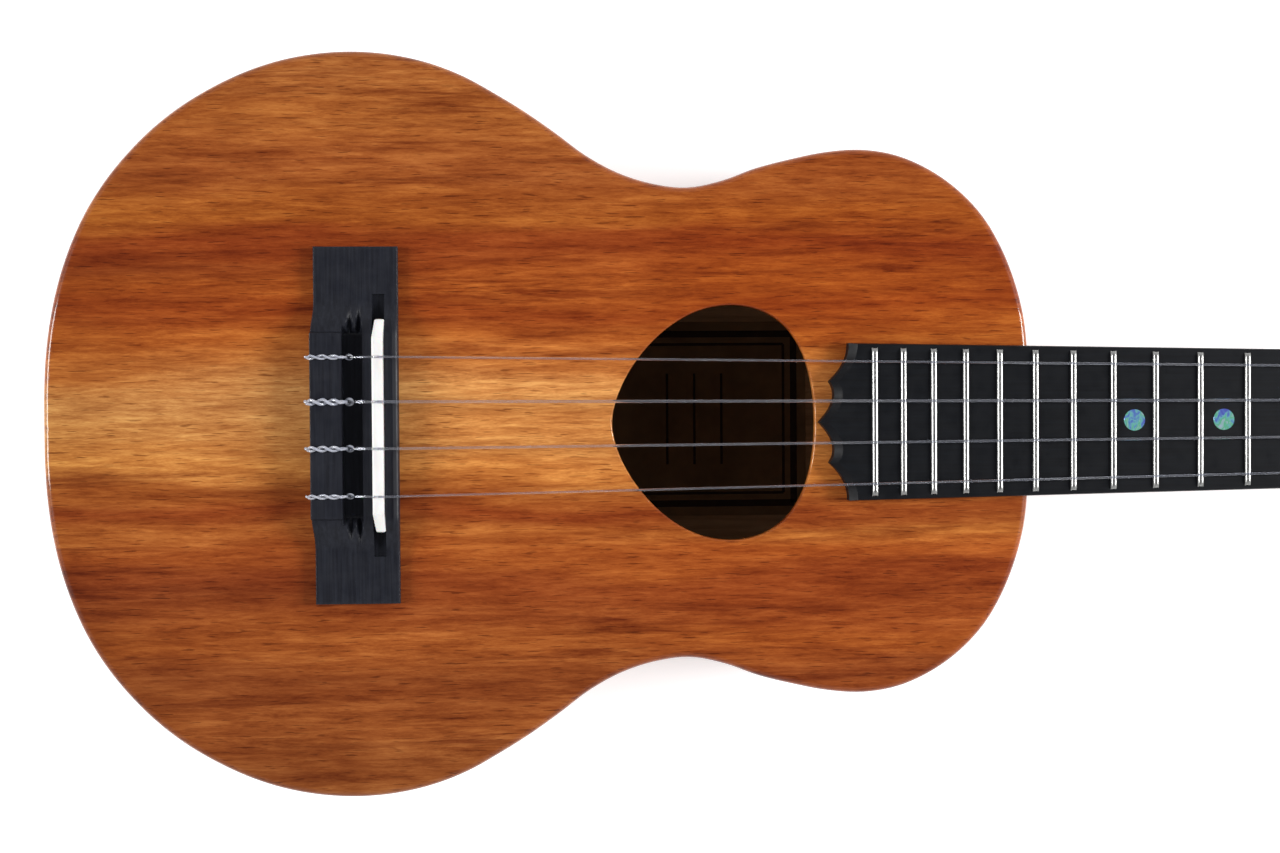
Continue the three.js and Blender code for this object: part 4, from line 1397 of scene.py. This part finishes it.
def make_post(number):
    """The post with its gear and gear screw, a black strip on the screw's head as painted shade for its
    slot, and the string's winding.
    """
    base, side = tuner_frame(number)
    body = f"post_{number}"
    low = GEAR_Z - GEAR_THICK / 2
    top = 13.8
    stem = lathe([(0, GEAR_Z), (POST_RADIUS, GEAR_Z), (POST_RADIUS, 4.6), (POST_WAIST, 5.4),
                  (POST_WAIST - 0.1, 8.8), (POST_WAIST, 10.6), (POST_RADIUS, 11.4), (POST_RADIUS, top - 1.0),
                  (POST_RADIUS - 0.2, top - 0.35), (2.3, top), (0, top)], 40)
    head = low - 1.6
    screw = lathe([(0, head), (1.5, head), (2.3, head + 0.35), (2.6, head + 1.1), (2.6, low + 0.4),
                   (0, low + 0.4)], 36)
    post = moved(merge(stem, gear_part(), screw), base)
    build(f"post_geared_{number}", post, "nickel", [f"tuner_post_{number}"], body)
    # Painted shade: a thin black strip on the screw's head stands for the shade in its slot.
    slot_shade_strip = block((-2.2, -0.28, head - 0.06), (2.2, 0.28, head + 0.035))
    build(f"gear_screw_slot_{number}", moved(slot_shade_strip, base), "screw_slot_shade", body=body)
    winding = moved(winding_part(side, list(STRING_RADIUS.values())[number - 1]), base)
    build(f"string_winding_{number}", winding, "string", body=body, sharp=60)


def shaft_ring(y, wide, thick):
    """An ellipse about the button's axis."""
    return [Vector((wide * x, y, -thick * z)) for x, z in circle(1, SHAFT_SIDES)]


def round_rings(profile):
    return [shaft_ring(y, radius, radius) for y, radius in profile]


def worm_ring(y, facing):
    """A slice of the worm: the thread stands where the angle keeps step with y."""
    ring = []
    for j, (x, z) in enumerate(circle(1, SHAFT_SIDES)):
        phase = j / SHAFT_SIDES - facing - y / WORM_LEAD
        height = ease(0.27 - abs(phase - round(phase)), 0, 0.17)
        radius = WORM_RADIUS - 0.75 + 1.35 * height
        ring.append(Vector((radius * x, y, -radius * z)))
    return ring


def shaft_part(facing, end):
    """The shaft with its worm, and the collar at the button."""
    half = 4.0
    steps = 90
    before = ((-half - 2.4, SHAFT_RADIUS - 0.3), (-half - 2.2, SHAFT_RADIUS), (-half, SHAFT_RADIUS),
              (-half, SHAFT_RADIUS + 0.1))
    after = ((half, SHAFT_RADIUS + 0.1), (half + 0.05, SHAFT_RADIUS), (end + 0.2, SHAFT_RADIUS))
    worm = [worm_ring(-half + 2 * half * i / steps, facing) for i in range(1, steps)]
    collar = ((end - 0.6, 1.6), (end - 0.5, 2.2), (end + 1.2, 2.4), (end + 1.4, 1.9))
    return merge(loft(round_rings(before) + worm + round_rings(after)), loft(round_rings(collar)))


def knob_part(start):
    """A flat oval button that swells from its stem."""
    length = 14.4
    half_wide, half_thick, stem_radius = 8.2, 3.0, 1.9
    least = 0.3
    steps = 36
    rings = []
    for i in range(steps + 1):
        angle = math.pi * i / steps
        t = (1 - math.cos(angle)) / 2
        swell = math.sin(angle) ** 0.8 * (0.78 + 0.22 * t)
        stem = stem_radius * (1 - ease(t, 0.0, 0.3))
        wide = least + stem + half_wide * swell
        thick = least + 0.7 * stem + half_thick * swell
        rings.append(shaft_ring(start + length * t, wide, thick))
    return loft(rings)


def make_button(number):
    """Shaft, worm and button in one, turning about the headstock's Y."""
    base, side = tuner_frame(number)
    body = f"button_{number}"
    turn, facing = (0, 0.0) if side > 0 else (math.pi, 0.5)
    place = base @ Matrix.Translation((WORM_X, 0, GEAR_Z)) @ Matrix.Rotation(turn, 4, "Z")
    end = 18.4
    shaft = moved(shaft_part(facing, end), place)
    build(f"worm_shaft_{number}", shaft, "nickel", body=body)
    knob = moved(knob_part(end + 1.2), place)
    build(f"button_knob_{number}", knob, "button", [f"tuner_button_{number}"], body)


def plate_outline():
    """Round noses beyond the post and the worm, and a wider middle under the ears."""
    wide = [(WORM_X + 3.4, EAR_OUTSIDE), (WORM_X - 3.4, EAR_OUTSIDE)]
    points = arc((10, 0), 5.0, -90, 90, 16) + wide + arc((WORM_X - 4.6, 0), 5.0, 90, 270, 16)
    return points + [(x, -y) for x, y in reversed(wide)]


def ear_part(y):
    """One ear of the plate, with a round end and a bore for the shaft."""
    bore = SHAFT_RADIUS + 0.12
    radius = 3.2
    rise = SHEET_TOP - SHEET / 2 - GEAR_Z
    inner, outer = [], []
    for across, up in circle(1, 32):
        reach = radius if up < 0 else min(radius / max(abs(across), 1e-6), rise / max(up, 1e-6))
        inner.append((WORM_X + bore * across, GEAR_Z + bore * up))
        outer.append((WORM_X + reach * across, GEAR_Z + reach * up))
    far = y + EAR_THICK
    return loft([at_y(inner, y), at_y(outer, y), at_y(outer, far), at_y(inner, far)], loop=True)


def make_plate(number):
    """The plate with its ears, two round-head screws and the bushing on the headstock's face."""
    base = tuner_frame(number)[0]
    under = SHEET_TOP - SHEET
    sheet = slab(plate_outline(), under, SHEET_TOP, 0.2)
    plate = merge(sheet, ear_part(-EAR_OUTSIDE), ear_part(EAR_INSIDE))
    build(f"plate_{number}", moved(plate, base), "nickel", [f"tuner_plate_{number}"])
    screw = [(0, under + 0.8), (1.0, under + 0.8), (1.0, under), (2.0, under), (1.9, under - 0.5),
             (1.3, under - 0.95), (0, under - 1.1)]
    for letter, x in (("a", 11.5), ("b", WORM_X - 6.0)):
        part = lathe(screw, 28, base @ Matrix.Translation((x, 0, 0)))
        build(f"plate_screw_{number}{letter}", part, "nickel")
    profile = ((3.15, 1.7), (3.15, 2.9), (3.7, 3.1), (5.0, 2.7), (5.3, 2.3), (5.3, 1.85), (5.0, 1.8))
    bushing = loft([at_height(circle(radius, 48), z) for radius, z in profile], loop=True)
    build(f"post_bushing_{number}", moved(bushing, base), "nickel")


make_stage()
make_top()
make_back()
make_sides()
make_linings()
dress_inside()
make_label()
make_bridge()
make_saddle()
make_board()
make_frets()
make_dots()
make_nut()
make_neck()
make_strings()
for tuner in TUNERS:
    make_post(tuner)
    make_button(tuner)
    make_plate(tuner)
